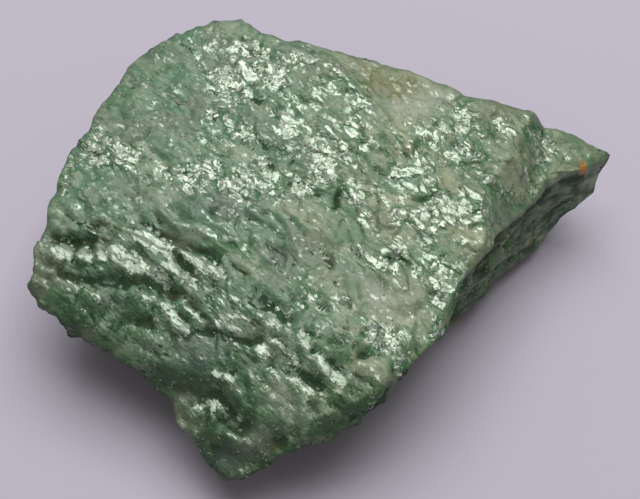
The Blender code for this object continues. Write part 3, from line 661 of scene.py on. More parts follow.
# %% [markdown]
# ## From a box to a mesh
# The box's skin is a list of whole-number places and the quads between them. Numbering every skin point once
# means that neighbouring sides share their edge points, so there are no seams to weld.

# %% The box's skin

def box_skin(columns, rows, layers):
    """The skin of a box of cells: each point's whole-number place, and the quads that close it."""
    shape = (columns + 1, rows + 1, layers + 1)
    skin = np.ones(shape, bool)
    skin[1:-1, 1:-1, 1:-1] = False
    number = np.full(shape, -1)
    number[skin] = np.arange(skin.sum())
    quads = []
    for sheet, outward in (
        (number[:, :, -1], True), (number[:, :, 0], False),
        (number[:, 0, :], True), (number[:, -1, :], False),
        (number[0, :, :], False), (number[-1, :, :], True),
    ):
        corners = [sheet[:-1, :-1], sheet[1:, :-1], sheet[1:, 1:], sheet[:-1, 1:]]
        loop = np.stack(corners if outward else corners[::-1], axis=-1)
        quads.append(loop.reshape(-1, 4))
    return np.argwhere(skin), np.concatenate(quads)


def ring_place(i, j, columns, rows):
    """Where a cell corner lies on its ring: the ring's share of the way out, and its share of a turn."""
    a, b = 2.0 * i / columns - 1.0, 2.0 * j / rows - 1.0
    reach = np.maximum(np.abs(a), np.abs(b))
    safe = np.where(reach > 0.0, reach, 1.0)
    a, b = a / safe, b / safe
    sides = [a >= 1.0 - 1e-9, b >= 1.0 - 1e-9, a <= -1.0 + 1e-9]
    ways = [rows * (b + 1) / 2, rows + columns * (1 - a) / 2, rows + columns + rows * (1 - b) / 2]
    way = np.select(sides, ways, 2 * rows + columns + columns * (a + 1) / 2)
    return reach, way / (2.0 * (rows + columns))


def stone_points(places, columns, rows, layers):
    """Every skin point's position: the box's lid, sides and bottom become the stone's."""
    i, j, k = places.T
    reach, turn = ring_place(i, j, columns, rows)
    down = 1.0 - k / layers
    on_lid, on_bottom = k == layers, k == 0
    points = np.stack(wall(down, turn), axis=-1)
    points[on_lid] = np.stack(lid(reach[on_lid], turn[on_lid]), axis=-1)
    points[on_bottom] = np.stack(underside(reach[on_bottom], turn[on_bottom]), axis=-1)
    return points


print("points on the skin of a box of two cells each way:", len(box_skin(2, 2, 2)[0]))

# %% [markdown]
# ## The skin
# The skin is the same stone as the solid one, with cells of about 0.4 mm, so that folds, cracks and sheet
# edges are real shape. It stands in for the solid stone in the picture. Its edges stay sharp enough at this
# size, so its faces are shaded smooth and the finest sparkle is left to the finish and the flakes.

# %% Work out the skin's points
SKIN_CELLS = (236, 142, 38)    # along X, along Y and up
FACE_FADE = 0.22               # how far down the wall the face's own colours reach, as a share of it

places, quads = box_skin(*SKIN_CELLS)
skin_points = stone_points(places, *SKIN_CELLS)
middle = (skin_points.min(axis=0) + skin_points.max(axis=0)) / 2.0
middle[2] = 0.0
skin_points = skin_points - middle
down_wall = 1.0 - places[:, 2] / SKIN_CELLS[2]
on_face = 1.0 - fade(down_wall / FACE_FADE)
print("skin points:", len(skin_points), "triangles:", 2 * len(quads))

# %% Make a mesh from points and faces
def add_piece(name, points, faces, smooth):
    """A mesh object from points in millimetres and faces of equal size, standing at the origin."""
    mesh = bpy.data.meshes.new(name)
    mesh.vertices.add(len(points))
    mesh.vertices.foreach_set("co", (points * MM).astype(np.float32).ravel())
    mesh.loops.add(faces.size)
    mesh.loops.foreach_set("vertex_index", faces.astype(np.int32).ravel())
    mesh.polygons.add(len(faces))
    mesh.polygons.foreach_set("loop_start", np.arange(0, faces.size, faces.shape[1], dtype=np.int32))
    mesh.polygons.foreach_set("use_smooth", np.full(len(faces), smooth))
    mesh.update(calc_edges=True)
    mesh.validate()
    piece = bpy.data.objects.new(name, mesh)
    bpy.context.scene.collection.objects.link(piece)
    return piece


def add_values(piece, name, values):
    """A named value at each point of the piece, for its material to read."""
    layer = piece.data.attributes.new(name, "FLOAT", "POINT")
    layer.data.foreach_set("value", np.asarray(values, dtype=np.float32))


skin = add_piece("stone_skin", skin_points, quads, True)
print("skin size, mm:", (skin_points.max(axis=0) - skin_points.min(axis=0)).round(1))

# %% [markdown]
# ## Where the stone is hollow
# Dirt and painted shade darken the hollows to deep green, and bare silvery mica shows on what stands proud.
# Smoothing the whole skin and comparing each point with its smoothed place tells which is which: a point
# under its smoothed place is sunk. It works the same on the face, in the cracks and on the wall.

# %% Smooth the skin and measure the hollows
LEAF_PASSES = 3        # how many times the skin is smoothed: for the flakes' lean,
NEAR_PASSES = 6        # for hollows about a millimetre wide,
FAR_PASSES = 40        # and again for hollows several millimetres wide


def neighbour_mean(values, faces):
    """The mean of each point's neighbours along the faces' edges, for every column of the values."""
    ends = np.concatenate([faces[:, [0, 1]], faces[:, [1, 2]], faces[:, [2, 3]], faces[:, [3, 0]]])
    count = np.bincount(ends[:, 0], minlength=len(values))
    columns = [np.bincount(ends[:, 0], weights=values[ends[:, 1], c], minlength=len(values))
               for c in range(values.shape[1])]
    return np.stack(columns, axis=-1) / count[:, None]


def point_normals(points, faces):
    """Each point's outward direction: the sum of its faces' crossed diagonals, brought to length one."""
    cross = np.cross(points[faces[:, 2]] - points[faces[:, 0]], points[faces[:, 3]] - points[faces[:, 1]])
    columns = [sum(np.bincount(faces[:, c], weights=cross[:, axis], minlength=len(points)) for c in range(4))
               for axis in range(3)]
    normals = np.stack(columns, axis=-1)
    return normals / np.linalg.norm(normals, axis=1, keepdims=True)


def smoothed(points, faces, passes):
    """The points after moving half way to their neighbours' mean, again and again."""
    for _ in range(passes):
        points = 0.5 * points + 0.5 * neighbour_mean(points, faces)
    return points


skin_normals = point_normals(skin_points, quads)
near_smooth = smoothed(skin_points, quads, NEAR_PASSES)
far_smooth = smoothed(near_smooth, quads, FAR_PASSES)
sunk_near = ((near_smooth - skin_points) * skin_normals).sum(axis=1)
sunk_far = ((far_smooth - skin_points) * skin_normals).sum(axis=1)
leaf_normals = point_normals(smoothed(skin_points, quads, LEAF_PASSES), quads)
steepness = 1.0 - np.clip(leaf_normals[:, 2], 0.0, 1.0)
add_values(skin, "sunk_near", sunk_near)
add_values(skin, "sunk_far", sunk_far)
add_values(skin, "steepness", steepness)
print("hollows, mm:", np.percentile(sunk_near, [2, 98]).round(2), np.percentile(sunk_far, [2, 98]).round(2))

# %% [markdown]
# ## Which points are mica and which are slope
# The finish needs to know at each point of the skin how much bright mica there is, and whether it lies on
# the folded front slope, which is greener, or on the wall. They are stored on the mesh as named values. The
# face's values fade over the first part of the wall, because a broken edge has no border of colour.

# %% Places that stay plain rock
# Each has the same five numbers as a patch of bright mica.
PLAIN_PATCHES = [
    (13.0, 22.5, 6.0, 3.2, 1.3), (-30.5, 19.0, 4.5, 3.5, 0.8), (-36.5, 7.0, 3.5, 4.5, 0.8),
    (-24.0, 13.0, 5.0, 4.0, 0.8), (-5.5, -0.3, 6.0, 2.7, 1.0), (-27.0, 1.5, 6.0, 2.0, 0.8),
    (3.0, -8.0, 4.0, 3.0, 0.7), (12.0, -14.0, 4.5, 3.5, 0.7), (-36.0, -11.0, 5.5, 2.4, 1.1),
    (-29.5, -12.5, 3.5, 2.0, 0.8), (-19.8, -20.6, 4.8, 1.9, 1.6), (-4.2, -22.2, 2.0, 1.5, 1.1),
    (-24.5, 3.8, 2.2, 2.2, 1.8), (-21.0, -16.0, 3.2, 2.2, 0.7), (2.6, 18.3, 1.8, 1.6, 1.2),
    (7.2, -25.0, 1.8, 1.6, 1.2), (-24.9, -6.9, 1.6, 1.0, 1.0), (30.1, 10.4, 1.2, 2.4, 0.9),
    (1.8, -13.0, 1.6, 1.2, 0.9), (9.1, 17.6, 2.0, 1.8, 1.0), (21.0, 6.7, 1.8, 1.6, 1.0),
    (-12.2, 10.5, 2.0, 1.8, 0.9), (-32.9, 1.2, 3.0, 1.6, 0.9), (8.1, -5.2, 1.8, 2.4, 1.0),
    (-3.2, -29.7, 3.2, 1.8, 1.1), (-16.6, 1.8, 2.0, 2.2, 0.8), (-12.8, 3.4, 1.8, 1.6, 1.0),
    (-13.8, -6.3, 2.2, 3.0, 1.0), (-11.7, -13.4, 2.0, 1.6, 0.9), (12.9, 16.1, 2.2, 1.6, 1.0),
    (19.9, -5.9, 1.8, 2.0, 1.2), (-24.6, 3.2, 2.4, 1.8, 1.6), (-13.6, -8.4, 1.8, 1.8, 0.9),
    (1.4, -18.2, 1.8, 1.4, 0.9), (30.1, 10.9, 1.4, 1.6, 0.9), (-28.8, 21.4, 1.6, 1.4, 0.8),
    (-24.6, -19.1, 1.8, 1.4, 1.2), (-32.6, 1.0, 1.8, 1.4, 1.0),
]

print("plain patches:", len(PLAIN_PATCHES))

# %% Mica and slope at each point
PLAIN_SHARE = 0.5      # how much mica a plain patch takes away
LEAST_MICA = 0.02
WALL_MICA = 0.10
# The dark line under the slab is painted shadow and dirt, just under the upper slab's edge on the right wall.
SLAB_SHADOW_DOWN = 0.13    # how far down the right wall the dark line under the slab lies, as a share of it
SLAB_SHADOW_WIDTH = 0.07

plan_x, plan_y = skin_points[:, 0] + middle[0], skin_points[:, 1] + middle[1]
torn = tears(plan_x, plan_y)
slope_share = on_slope(plan_x, plan_y)
mica = mica_share(plan_x, plan_y) + 0.08 * (1.0 - slope_share) + 0.5 * tiny_folds(plan_x, plan_y)
mica = mica + 0.7 * foot_lumps(plan_x, plan_y)
mica = mica - PLAIN_SHARE * patches(plan_x, plan_y, PLAIN_PATCHES)
mica = WALL_MICA + on_face * (np.clip(mica, LEAST_MICA, 1.0) - WALL_MICA)
add_values(skin, "mica", mica)
add_values(skin, "slope", slope_share)
# Painted shadow and dirt in a band under the rim of the right wall.
right_wall = fade((plan_x - 18.0) / 4.0) * fade((23.0 - plan_y) / 4.0)
shadow_under_slab = right_wall * np.exp(-((down_wall - SLAB_SHADOW_DOWN) / SLAB_SHADOW_WIDTH) ** 2)
add_values(skin, "slab_shadow_and_dirt", shadow_under_slab * (0.8 + 1.2 * torn))
add_values(skin, "wall", 1.0 - on_face)
print("share of the face with bright mica:", round(float((mica[down_wall == 0.0] > 0.5).mean()), 2))

# %% [markdown]
# ## The painted shadow in the cracks
# A crack's bottom is narrower than the skin's cells, so the shade in it is painted as a thin dark line. The
# same crack lines that cut the shape give this line, as a value that falls off within a third of a
# millimetre. Noise moves it to and fro, because a crack runs round the grains.

# %% Painted shadow in the cracks
CRACK_SHADOW_WIDTH = 0.33      # millimetres


def crack_shadow_lines(x, y):
    """One along the bottom of every crack, wandering with noise and fading at its ends, and 0 elsewhere."""
    warp_x, warp_y = moved_plan(x, y)
    warp_x = warp_x + 0.35 * rough(x, y, 83.0, 1.4, 2, SEED + 160)
    warp_y = warp_y + 0.35 * rough(x, y, 89.0, 1.4, 2, SEED + 161)
    best = np.zeros(np.shape(x))
    for _, _, points in CRACKS:
        away, share = line_place(warp_x, warp_y, points)
        best = np.maximum(best, np.clip(spindle(share), 0.0, 1.0) * np.exp(-((away / CRACK_SHADOW_WIDTH) ** 2)))
    return best


# The crack values are painted shadow along the bottoms of the cracks.
painted_crack_shadow = crack_shadow_lines(plan_x, plan_y) * on_face
add_values(skin, "crack", painted_crack_shadow)
print("share of the skin in dark lines:", round(float((painted_crack_shadow > 0.5).mean()), 4))

# %% [markdown]
# ## Quartz, stains and other colours
# Grey-white quartz shows near the back edge, by the scarp and as a smooth lens in the folds. Slate grey and
# deep emerald lie between, a spot by the back edge is stained olive, and a small rust spot sits near the
# pointed end. They are colour only, so they are values on the skin and not raised.

# %% Patches of quartz, slate, olive stain, emerald and rust
# Each patch: middle x and y, half length along X, half width along Y, and how strong it is.
QUARTZ_PATCHES = [
    (16.5, 20.8, 4.8, 2.6, 1.3), (8.0, 28.0, 4.0, 1.3, 0.5), (15.8, 26.0, 2.0, 1.2, 0.6),
    (27.0, -2.0, 1.2, 3.0, 0.6), (-32.0, -19.5, 3.0, 1.0, 0.4), (-21.5, -27.0, 3.0, 1.0, 0.35),
    (22.0, 19.8, 2.0, 1.6, 0.6), (-19.6, -3.4, 2.4, 1.0, 0.5), (8.0, -14.0, 5.0, 3.5, 0.6),
    (14.0, -16.0, 3.5, 3.0, 0.5), (30.0, 7.5, 3.2, 6.0, 0.55), (36.5, 15.5, 3.5, 2.6, 0.5),
    (-44.0, -6.5, 1.6, 4.5, 0.35), (-38.0, -17.5, 4.0, 1.0, 0.25), (-22.5, -28.5, 1.6, 2.0, 0.4),
    (-6.5, -28.3, 2.2, 1.5, 0.5), (-3.5, -30.8, 2.4, 1.5, 0.4), (-20.6, -31.4, 1.6, 1.2, 0.5),
    (-9.8, -33.6, 2.6, 1.4, 0.35),
]
SLATE_PATCHES = [
    (-16.5, 1.5, 3.6, 1.8, 0.8), (-6.5, -7.0, 2.2, 1.4, 0.8), (-9.0, -22.5, 3.5, 1.5, 0.5),
    (-18.5, -21.2, 4.5, 2.0, 0.9), (-33.0, -13.0, 2.5, 1.2, 0.6), (-2.0, 8.0, 2.5, 1.4, 0.5),
    (-14.6, -35.2, 2.4, 1.6, 0.5),
]
OLIVE_PATCHES = [(11.5, 24.0, 3.6, 2.3, 1.5), (6.5, 26.8, 3.4, 1.5, 1.2)]
EMERALD_PATCHES = [
    (-36.5, -15.0, 4.0, 2.4, 0.9), (-31.5, -17.0, 3.5, 2.2, 0.7), (-41.0, -0.6, 2.5, 1.2, 0.9),
    (-27.0, -10.6, 4.5, 1.4, 0.9), (-15.5, -5.4, 5.0, 1.4, 0.9), (-20.5, -24.4, 5.0, 1.3, 1.0),
    (-19.0, -30.0, 4.0, 2.4, 0.9), (-13.0, -33.0, 4.5, 2.6, 0.5), (2.5, -30.0, 6.0, 1.6, 0.5),
    (3.0, -21.5, 4.0, 1.4, 0.7), (24.0, 14.0, 2.5, 1.4, 0.7), (26.5, 17.5, 2.2, 1.0, 0.8),
    (17.0, 2.5, 2.4, 1.2, 0.7), (2.8, 2.6, 0.7, 2.8, 0.8),
]
RUST_PATCHES = [(43.6, 13.4, 0.9, 0.8, 1.0), (42.4, 14.6, 0.9, 0.5, 0.4)]
for name, table in (("quartz", QUARTZ_PATCHES), ("slate", SLATE_PATCHES),
                    ("olive", OLIVE_PATCHES), ("emerald", EMERALD_PATCHES), ("rust", RUST_PATCHES)):
    add_values(skin, name, on_face * np.clip(patches(plan_x, plan_y, table) * (1.0 + 0.8 * torn), 0.0, 1.0))
    print("patches of", name, len(table))

# %% [markdown]
# ## Small helpers for materials
# A material is a tree of nodes. Writing each node's name, sockets and links out in full would bury the idea,
# so a few helpers add a node and join it up in one line. One of them can add any node, and the rest are the
# sums, blends and patterns that this stone needs.

# %% Helpers that add nodes
MM_IN_METRE = 1000.0


def fill(tree, node, sockets):
    """Gives each socket a number or a colour, or links it to another node's output."""
    for socket, value in sockets.items():
        if isinstance(value, bpy.types.NodeSocket):
            tree.links.new(value, node.inputs[socket])
        else:
            node.inputs[socket].default_value = value


def put(tree, kind, sockets=None, **settings):
    """Adds a node with its settings, and fills its sockets."""
    node = tree.nodes.new("ShaderNode" + kind)
    for name, setting in settings.items():
        setattr(node, name, setting)
    fill(tree, node, sockets or {})
    return node


def maths(tree, operation, first, second):
    """One sum on two numbers."""
    return put(tree, "Math", {0: first, 1: second}, operation=operation).outputs[0]


def times(tree, first, second):
    """The product of two numbers."""
    return maths(tree, "MULTIPLY", first, second)


def product(tree, first, *more):
    """The product of several numbers."""
    for factor in more:
        first = times(tree, first, factor)
    return first


def weighted(tree, *pairs):
    """The sum of several values, each times its own weight."""
    total = times(tree, *pairs[0])
    for value, weight in pairs[1:]:
        total = maths(tree, "ADD", total, times(tree, value, weight))
    return total


def centred(tree, value):
    """A value from 0 to 1 made to run from -0.5 to 0.5."""
    return maths(tree, "SUBTRACT", value, 0.5)


def blend_numbers(tree, share, first, second):
    """The first number where the share is 0 and the second where it is 1."""
    return put(tree, "Mix", {0: share, 2: first, 3: second}, data_type="FLOAT").outputs[0]


def blend_colours(tree, share, first, second, how="MIX"):
    """The first colour where the share is 0 and the second, or their product, where it is 1."""
    return put(tree, "Mix", {0: share, 6: first, 7: second}, data_type="RGBA", blend_type=how).outputs[2]


def ramp(tree, value, low, high):
    """A smooth rise from 0 at low to 1 at high."""
    return put(tree, "MapRange", {0: value, 1: low, 2: high}, interpolation_type="SMOOTHSTEP").outputs[0]


def read(tree, name):
    """A named value of the mesh."""
    return put(tree, "Attribute", attribute_name=name).outputs["Fac"]


def parts(tree, colour):
    """The red, green and blue of a colour as three numbers."""
    return put(tree, "SeparateColor", {0: colour}).outputs


print("helpers for nodes and sums ready")

# %% Helpers for directions, noise and groups
def added(tree, first, second):
    """Two vectors added."""
    return put(tree, "VectorMath", {0: first, 1: second}, operation="ADD").outputs[0]


def scaled(tree, vector, amount):
    """A vector times an amount."""
    return put(tree, "VectorMath", {0: vector, "Scale": amount}, operation="SCALE").outputs[0]


def pushed(tree, colour, amount):
    """A random colour made a push in a random direction: less the middle colour, then times the amount."""
    return scaled(tree, added(tree, colour, (-0.5, -0.5, -0.5)), amount)


def drawn_out(tree, place, stretch, turn=0.0):
    """Coordinates turned about Z and squeezed, so that a pattern read there is longer by the stretch."""
    sockets = {"Vector": place, "Rotation": (0.0, 0.0, turn), "Scale": stretch}
    return put(tree, "Mapping", sockets, vector_type="TEXTURE").outputs[0]


def cloud(tree, place, size_mm, detail, roughness=0.55):
    """A noise texture whose blobs are about the given size."""
    scale = MM_IN_METRE / size_mm
    return put(tree, "TexNoise", {"Vector": place, "Scale": scale, "Detail": detail, "Roughness": roughness})


def grain(tree, place, size_mm, detail=3.0, roughness=0.55):
    """One noise, from 0 to 1."""
    return cloud(tree, place, size_mm, detail, roughness).outputs[0]


def three_grains(tree, place, size_mm, detail, roughness):
    """Three unlike noises of the same size."""
    return parts(tree, cloud(tree, place, size_mm, detail, roughness).outputs["Color"])


def new_group(name, inputs, outputs):
    """An empty node group with named sockets: the group, its inputs to read, and its end node to fill."""
    group = bpy.data.node_groups.new(name, "ShaderNodeTree")
    for side, sockets in (("INPUT", inputs), ("OUTPUT", outputs)):
        for label, kind in sockets.items():
            group.interface.new_socket(label, in_out=side, socket_type="NodeSocket" + kind)
    return group, group.nodes.new("NodeGroupInput").outputs, group.nodes.new("NodeGroupOutput")


def use_group(tree, group, sockets):
    """Places a node group in a material and fills its inputs by name."""
    return put(tree, "Group", sockets, node_tree=group).outputs


def new_material(name):
    """A material with its node tree and its Principled shader."""
    material = bpy.data.materials.new(name)
    material.use_nodes = True
    return material, material.node_tree, material.node_tree.nodes["Principled BSDF"]


print("helpers for patterns and groups ready")

# %% [markdown]
# ## The grain of the sheets
# Everything in the schist is drawn out one way, because the rock was sheared as it formed. One group turns
# and squeezes the coordinates, and every pattern below reads them, so that they all share the same grain.

# %% The node group for the grain
grained, given, result = new_group("Along the grain", {"Vector": "Vector"}, {"Vector": "Vector"})
turned = drawn_out(grained, given["Vector"], (GRAIN_STRETCH, 1.0, 1.0), np.radians(GRAIN_ANGLE))
fill(grained, result, {"Vector": turned})
print("group:", grained.name)

# %% [markdown]
# ## Mica facets
# Mica cleaves into tiny mirrors that all lie a little differently. Bump mapping would round them off, so the
# space is cut into cells instead, and every cell leans the surface its own way. Noise moves the cells'
# borders, so that they aren't straight. Each cell also gets a random chance, which later makes some brighter
# than others, and its border gives a torn edge.

# %% The node group for mica facets
FACET_WANDER = 1.3    # how far the borders move, as a share of a cell
EDGE_RAGGED = 0.3     # how unevenly wide a torn edge is

facets, given, result = new_group(
    "Mica facets",
    {"Vector": "Vector", "Normal": "Vector", "Size": "Float", "Tilt": "Float"},
    {"Normal": "Vector", "Chance": "Float", "Edge": "Float"})
cell_scale = maths(facets, "DIVIDE", MM_IN_METRE, given["Size"])
wander = put(facets, "TexNoise", {"Vector": given["Vector"], "Scale": cell_scale, "Detail": 1.5})
wander = wander.outputs["Color"]
moved = pushed(facets, wander, maths(facets, "DIVIDE", FACET_WANDER, cell_scale))
where_cells = {"Vector": added(facets, given["Vector"], moved), "Scale": cell_scale}
cells = put(facets, "TexVoronoi", where_cells).outputs["Color"]
border = put(facets, "TexVoronoi", where_cells, feature="DISTANCE_TO_EDGE").outputs["Distance"]
leaning = added(facets, given["Normal"], pushed(facets, cells, given["Tilt"]))
leaning = put(facets, "VectorMath", {0: leaning}, operation="NORMALIZE").outputs[0]
from_edge = weighted(facets, (border, 1.0), (centred(facets, parts(facets, wander)[2]), EDGE_RAGGED))
fill(facets, result, {"Normal": leaning, "Chance": parts(facets, cells)[0],
                      "Edge": ramp(facets, from_edge, 0.16, 0.04)})
print("group:", facets.name, "with", len(facets.nodes), "nodes")

# %% [markdown]
# ## Colours of the schist
# The rock between the flakes runs from pale grey green, where quartz grains are mixed in, to a deep bottle
# green where the mica is thick. Hollows are the darkest, with painted shade and dirt in near black green and
# olive, and the right half is a little warmer than the left. Clouds of three sizes pick between the colours.

# %% The node group for the schist's colours
SEA_GREEN = (0.090, 0.206, 0.111, 1.0)
PALE_BEIGE = (0.27, 0.345, 0.225, 1.0)
PLAIN_GREY = (0.142, 0.200, 0.132, 1.0)
EMERALD = (0.034, 0.130, 0.038, 1.0)
# The last two colours are for painted shade and for dirt.
DEEP_GREEN = (0.010, 0.044, 0.010, 1.0)
DARK_OLIVE = (0.046, 0.060, 0.014, 1.0)
COOL_TINT = (0.95, 1.0, 1.02, 1.0)
WARM_TINT = (1.09, 1.0, 0.89, 1.0)

schist, given, result = new_group(
    "Schist colours",
    {"Vector": "Vector", "Green": "Float", "Shade and dirt": "Float", "Warm": "Float"},
    {"Colour": "Color"})
broad = three_grains(schist, given["Vector"], 5.0, 4.0, 0.62)
small = three_grains(schist, given["Vector"], 1.6, 4.0, 0.65)
tiny = three_grains(schist, given["Vector"], 0.4, 2.0, 0.6)
pale = ramp(schist, blend_numbers(schist, 0.3, broad[0], small[0]), 0.46, 0.58)
plain = ramp(schist, blend_numbers(schist, 0.2, broad[1], small[1]), 0.50, 0.60)
fresh = weighted(schist, (blend_numbers(schist, 0.5, broad[2], small[2]), 1.0), (given["Green"], 0.2))
rock = blend_colours(schist, pale, SEA_GREEN, PALE_BEIGE)
rock = blend_colours(schist, plain, rock, PLAIN_GREY)
rock = blend_colours(schist, ramp(schist, fresh, 0.52, 0.66), rock, EMERALD)
mottled = blend_colours(schist, ramp(schist, tiny[1], 0.35, 0.75), rock, PALE_BEIGE)
tint = blend_colours(schist, given["Warm"], COOL_TINT, WARM_TINT)
rock = blend_colours(schist, 1.0, blend_colours(schist, 0.25, rock, mottled), tint, "MULTIPLY")
# Near black green and olive: the colour of painted shade and of dirt.
shade_and_dirt_colour = blend_colours(schist, ramp(schist, broad[1], 0.50, 0.66), DEEP_GREEN, DARK_OLIVE)
depth = weighted(schist, (given["Shade and dirt"], 1.0), (centred(schist, tiny[0]), 0.7))
fill(schist, result, {"Colour": blend_colours(schist, ramp(schist, depth, 0.15, 0.9), rock, shade_and_dirt_colour)})
print("group:", schist.name, "with", len(schist.nodes), "nodes")

# %% [markdown]
# ## The skin's finish: how dark each place is
# The finish of the skin is one material, made here in five steps. The first adds up what darkens the rock:
# dirt and painted shade in hollows and in fine lines along the slope, painted shadow in the cracks, painted
# shadow and dirt under the slab on the right wall, and painted shade on steep ground and on the slope, which
# face away from the light. Soft bands in the wall are partly the sheets' own tone and partly painted shade.
# Each has a weight of its own, so that one can be changed without the others.

# %% Painted shade and dirt
skin_finish, tree, shader = new_material("green_mica_schist")
place = put(tree, "TexCoord").outputs["Object"]
where = use_group(tree, grained, {"Vector": place})["Vector"]
streaked = drawn_out(tree, where, (2.4, 1.0, 1.0))
bedded = drawn_out(tree, where, (2.0, 2.0, 0.7))
slope, wall_share, emerald, slate, crack, bright, sunk = [
    read(tree, name) for name in ("slope", "wall", "emerald", "slate", "crack", "mica", "sunk_near")]
steep = ramp(tree, read(tree, "steepness"), 0.06, 0.30)
bands = blend_numbers(tree, 0.5, grain(tree, where, 4.0), grain(tree, bedded, 1.8, 4.0, 0.6))
lines = times(tree, slope, ramp(tree, grain(tree, streaked, 0.8, 3.0, 0.6), 0.42, 0.30))
# Painted shade and dirt, added up with their weights.
shade_and_dirt = weighted(
    tree,
    (ramp(tree, sunk, 0.02, 0.26), 0.8),
    (ramp(tree, read(tree, "sunk_far"), 0.0, 0.9), 0.6),
    (steep, 0.35), (slope, 0.2), (slate, 0.1), (emerald, 0.12),
    (wall_share, blend_numbers(tree, bands, -1.3, 1.5)),
    (read(tree, "slab_shadow_and_dirt"), 0.8), (crack, 1.0), (lines, 0.7))
print("nodes after the darkness:", len(tree.nodes))

# %% [markdown]
# ## The skin's finish: the rock's colours
# The schist's own colours come first, and the patches of slate, quartz, olive stain and rust are laid over
# them, each only as strong as its value on the mesh.

# %% Rock colours
SLATE_GREY = (0.058, 0.094, 0.078, 1.0)
QUARTZ_GREY = (0.375, 0.42, 0.325, 1.0)
OLIVE_STAIN = (0.185, 0.205, 0.082, 1.0)
RUST_ORANGE = (0.48, 0.205, 0.022, 1.0)
WARM_FROM, WARM_TO = -0.022, 0.022    # metres along X, between which the tint warms

greener = weighted(tree, (slope, 0.4), (emerald, 0.9), (wall_share, 0.5))
warm = ramp(tree, put(tree, "SeparateXYZ", {0: place}).outputs[0], WARM_FROM, WARM_TO)
rock = use_group(tree, schist, {"Vector": where, "Green": greener, "Shade and dirt": shade_and_dirt, "Warm": warm})["Colour"]
for share, colour in (
    (times(tree, slate, 0.75), SLATE_GREY),
    (times(tree, read(tree, "quartz"), 0.75), QUARTZ_GREY),
    (times(tree, read(tree, "olive"), 0.95), OLIVE_STAIN),
    (ramp(tree, read(tree, "rust"), 0.25, 0.8), RUST_ORANGE),
):
    rock = blend_colours(tree, share, rock, colour)
print("nodes after the colours:", len(tree.nodes))

# %% [markdown]
# ## The skin's finish: where mica lies bare
# Bare mica has torn borders, so noise of three sizes is added to its value before it is cut off sharply.
# Mica splits along one direction, the cleavage, so bare mica's facets lean from the surface towards it.
# Facets of the size of a sheet go in whole or stay out whole, and what is sunk or steep stays rock.

# %% Bare mica
CLEAVAGE = (0.03, -0.12, 0.99)
SHEET_MM = 1.7        # facets of whole sheets
LEAF_MM = 0.36        # facets of the leaves on them

tear = weighted(
    tree,
    (centred(tree, grain(tree, where, 1.3, 3.0, 0.6)), 0.9),
    (centred(tree, grain(tree, where, 0.35, 2.0, 0.6)), 0.7),
    (times(tree, slope, centred(tree, grain(tree, streaked, 0.5, 2.0, 0.6))), 2.2))
mica_near = ramp(tree, bright, 0.15, 0.45)
towards_cleavage = scaled(tree, CLEAVAGE, times(tree, ramp(tree, bright, 0.4, 0.9), 0.5))
facing = added(tree, put(tree, "NewGeometry").outputs["Normal"], towards_cleavage)
sheet_tilt = blend_numbers(tree, mica_near, 0.10, blend_numbers(tree, slope, 0.18, 0.08))
sheet = use_group(tree, facets, {"Vector": where, "Normal": facing, "Size": SHEET_MM, "Tilt": sheet_tilt})
bare = weighted(
    tree,
    (bright, 1.0), (tear, 1.0), (centred(tree, sheet["Chance"]), blend_numbers(tree, slope, 0.55, 0.15)),
    (ramp(tree, sunk, 0.08, 0.3), -0.5), (steep, -0.4), (crack, -0.7))
foil = ramp(tree, bare, 0.36, 0.52)
print("nodes after the bare mica:", len(tree.nodes))

# %% [markdown]
# ## The skin's finish: leaves, glints and torn edges
# Small facets lie on the big ones, leaning more on the rock than on bare mica. A few of them glint alone in
# the rock, each a fleck of bare mica whose pale body is partly painted glint. Bump gives only what is finer
# than the facets: a grain, ripples along the slope, and a dip at the torn edges of the sheets.

# %% Leaves, glints and relief
BUMP_DEPTH = 0.0002    # metres

rock_tilt, foil_tilt = blend_numbers(tree, slope, 0.24, 0.32), blend_numbers(tree, slope, 0.11, 0.16)
leaf_tilt = blend_numbers(tree, foil, rock_tilt, foil_tilt)
leaf = use_group(tree, facets, {"Vector": where, "Normal": sheet["Normal"], "Size": LEAF_MM,
                                "Tilt": leaf_tilt})
# Lone glints: flecks of bare mica with a pale body painted as a glint, kept off steep ground and emerald.
glint = product(
    tree,
    ramp(tree, leaf["Chance"], 0.80, 0.84), ramp(tree, grain(tree, where, 1.8, 2.0), 0.42, 0.60),
    ramp(tree, maths(tree, "ADD", steep, emerald), 1.0, 0.0))
silver_and_painted_sheen = maths(tree, "MAXIMUM", foil, times(tree, glint, 0.7))
torn_edge = product(
    tree,
    sheet["Edge"], mica_near, ramp(tree, grain(tree, where, 2.5, 2.0), 0.38, 0.50),
    blend_numbers(tree, slope, 1.0, 0.15))
ripples = times(tree, slope, grain(tree, streaked, 0.35, 2.0, 0.6))
relief = weighted(tree, (torn_edge, -0.5), (grain(tree, where, 0.7, 4.0, 0.6), 0.6), (ripples, 0.5))
bump = put(tree, "Bump", {"Height": relief, "Strength": 1.0, "Distance": BUMP_DEPTH,
                          "Normal": leaf["Normal"]})
print("nodes after the relief:", len(tree.nodes))

# %% [markdown]
# ## The skin's finish: body, roughness and metal
# The whole skin is mica, so all of it has a silky mirror layer over a green body. It mirrors strongly, which
# the index of refraction says. Where mica lies bare, the surface is smoother and partly metal, and it flashes
# like crumpled foil. Its body is paler there, partly the mica's own silvery colour and partly painted sheen.
# Hollows are rough with dirt.

# %% The skin's shader
# FOIL_PALE is the mica's own silvery colour and painted sheen together.
FOIL_PALE = (0.505, 0.58, 0.49, 1.0)
TORN_GREEN = (0.016, 0.140, 0.036, 1.0)
ROCK_ROUGH, DIRT_ROUGH, FOIL_ROUGH = 0.46, 0.85, 0.28
MICA_IOR = 1.65

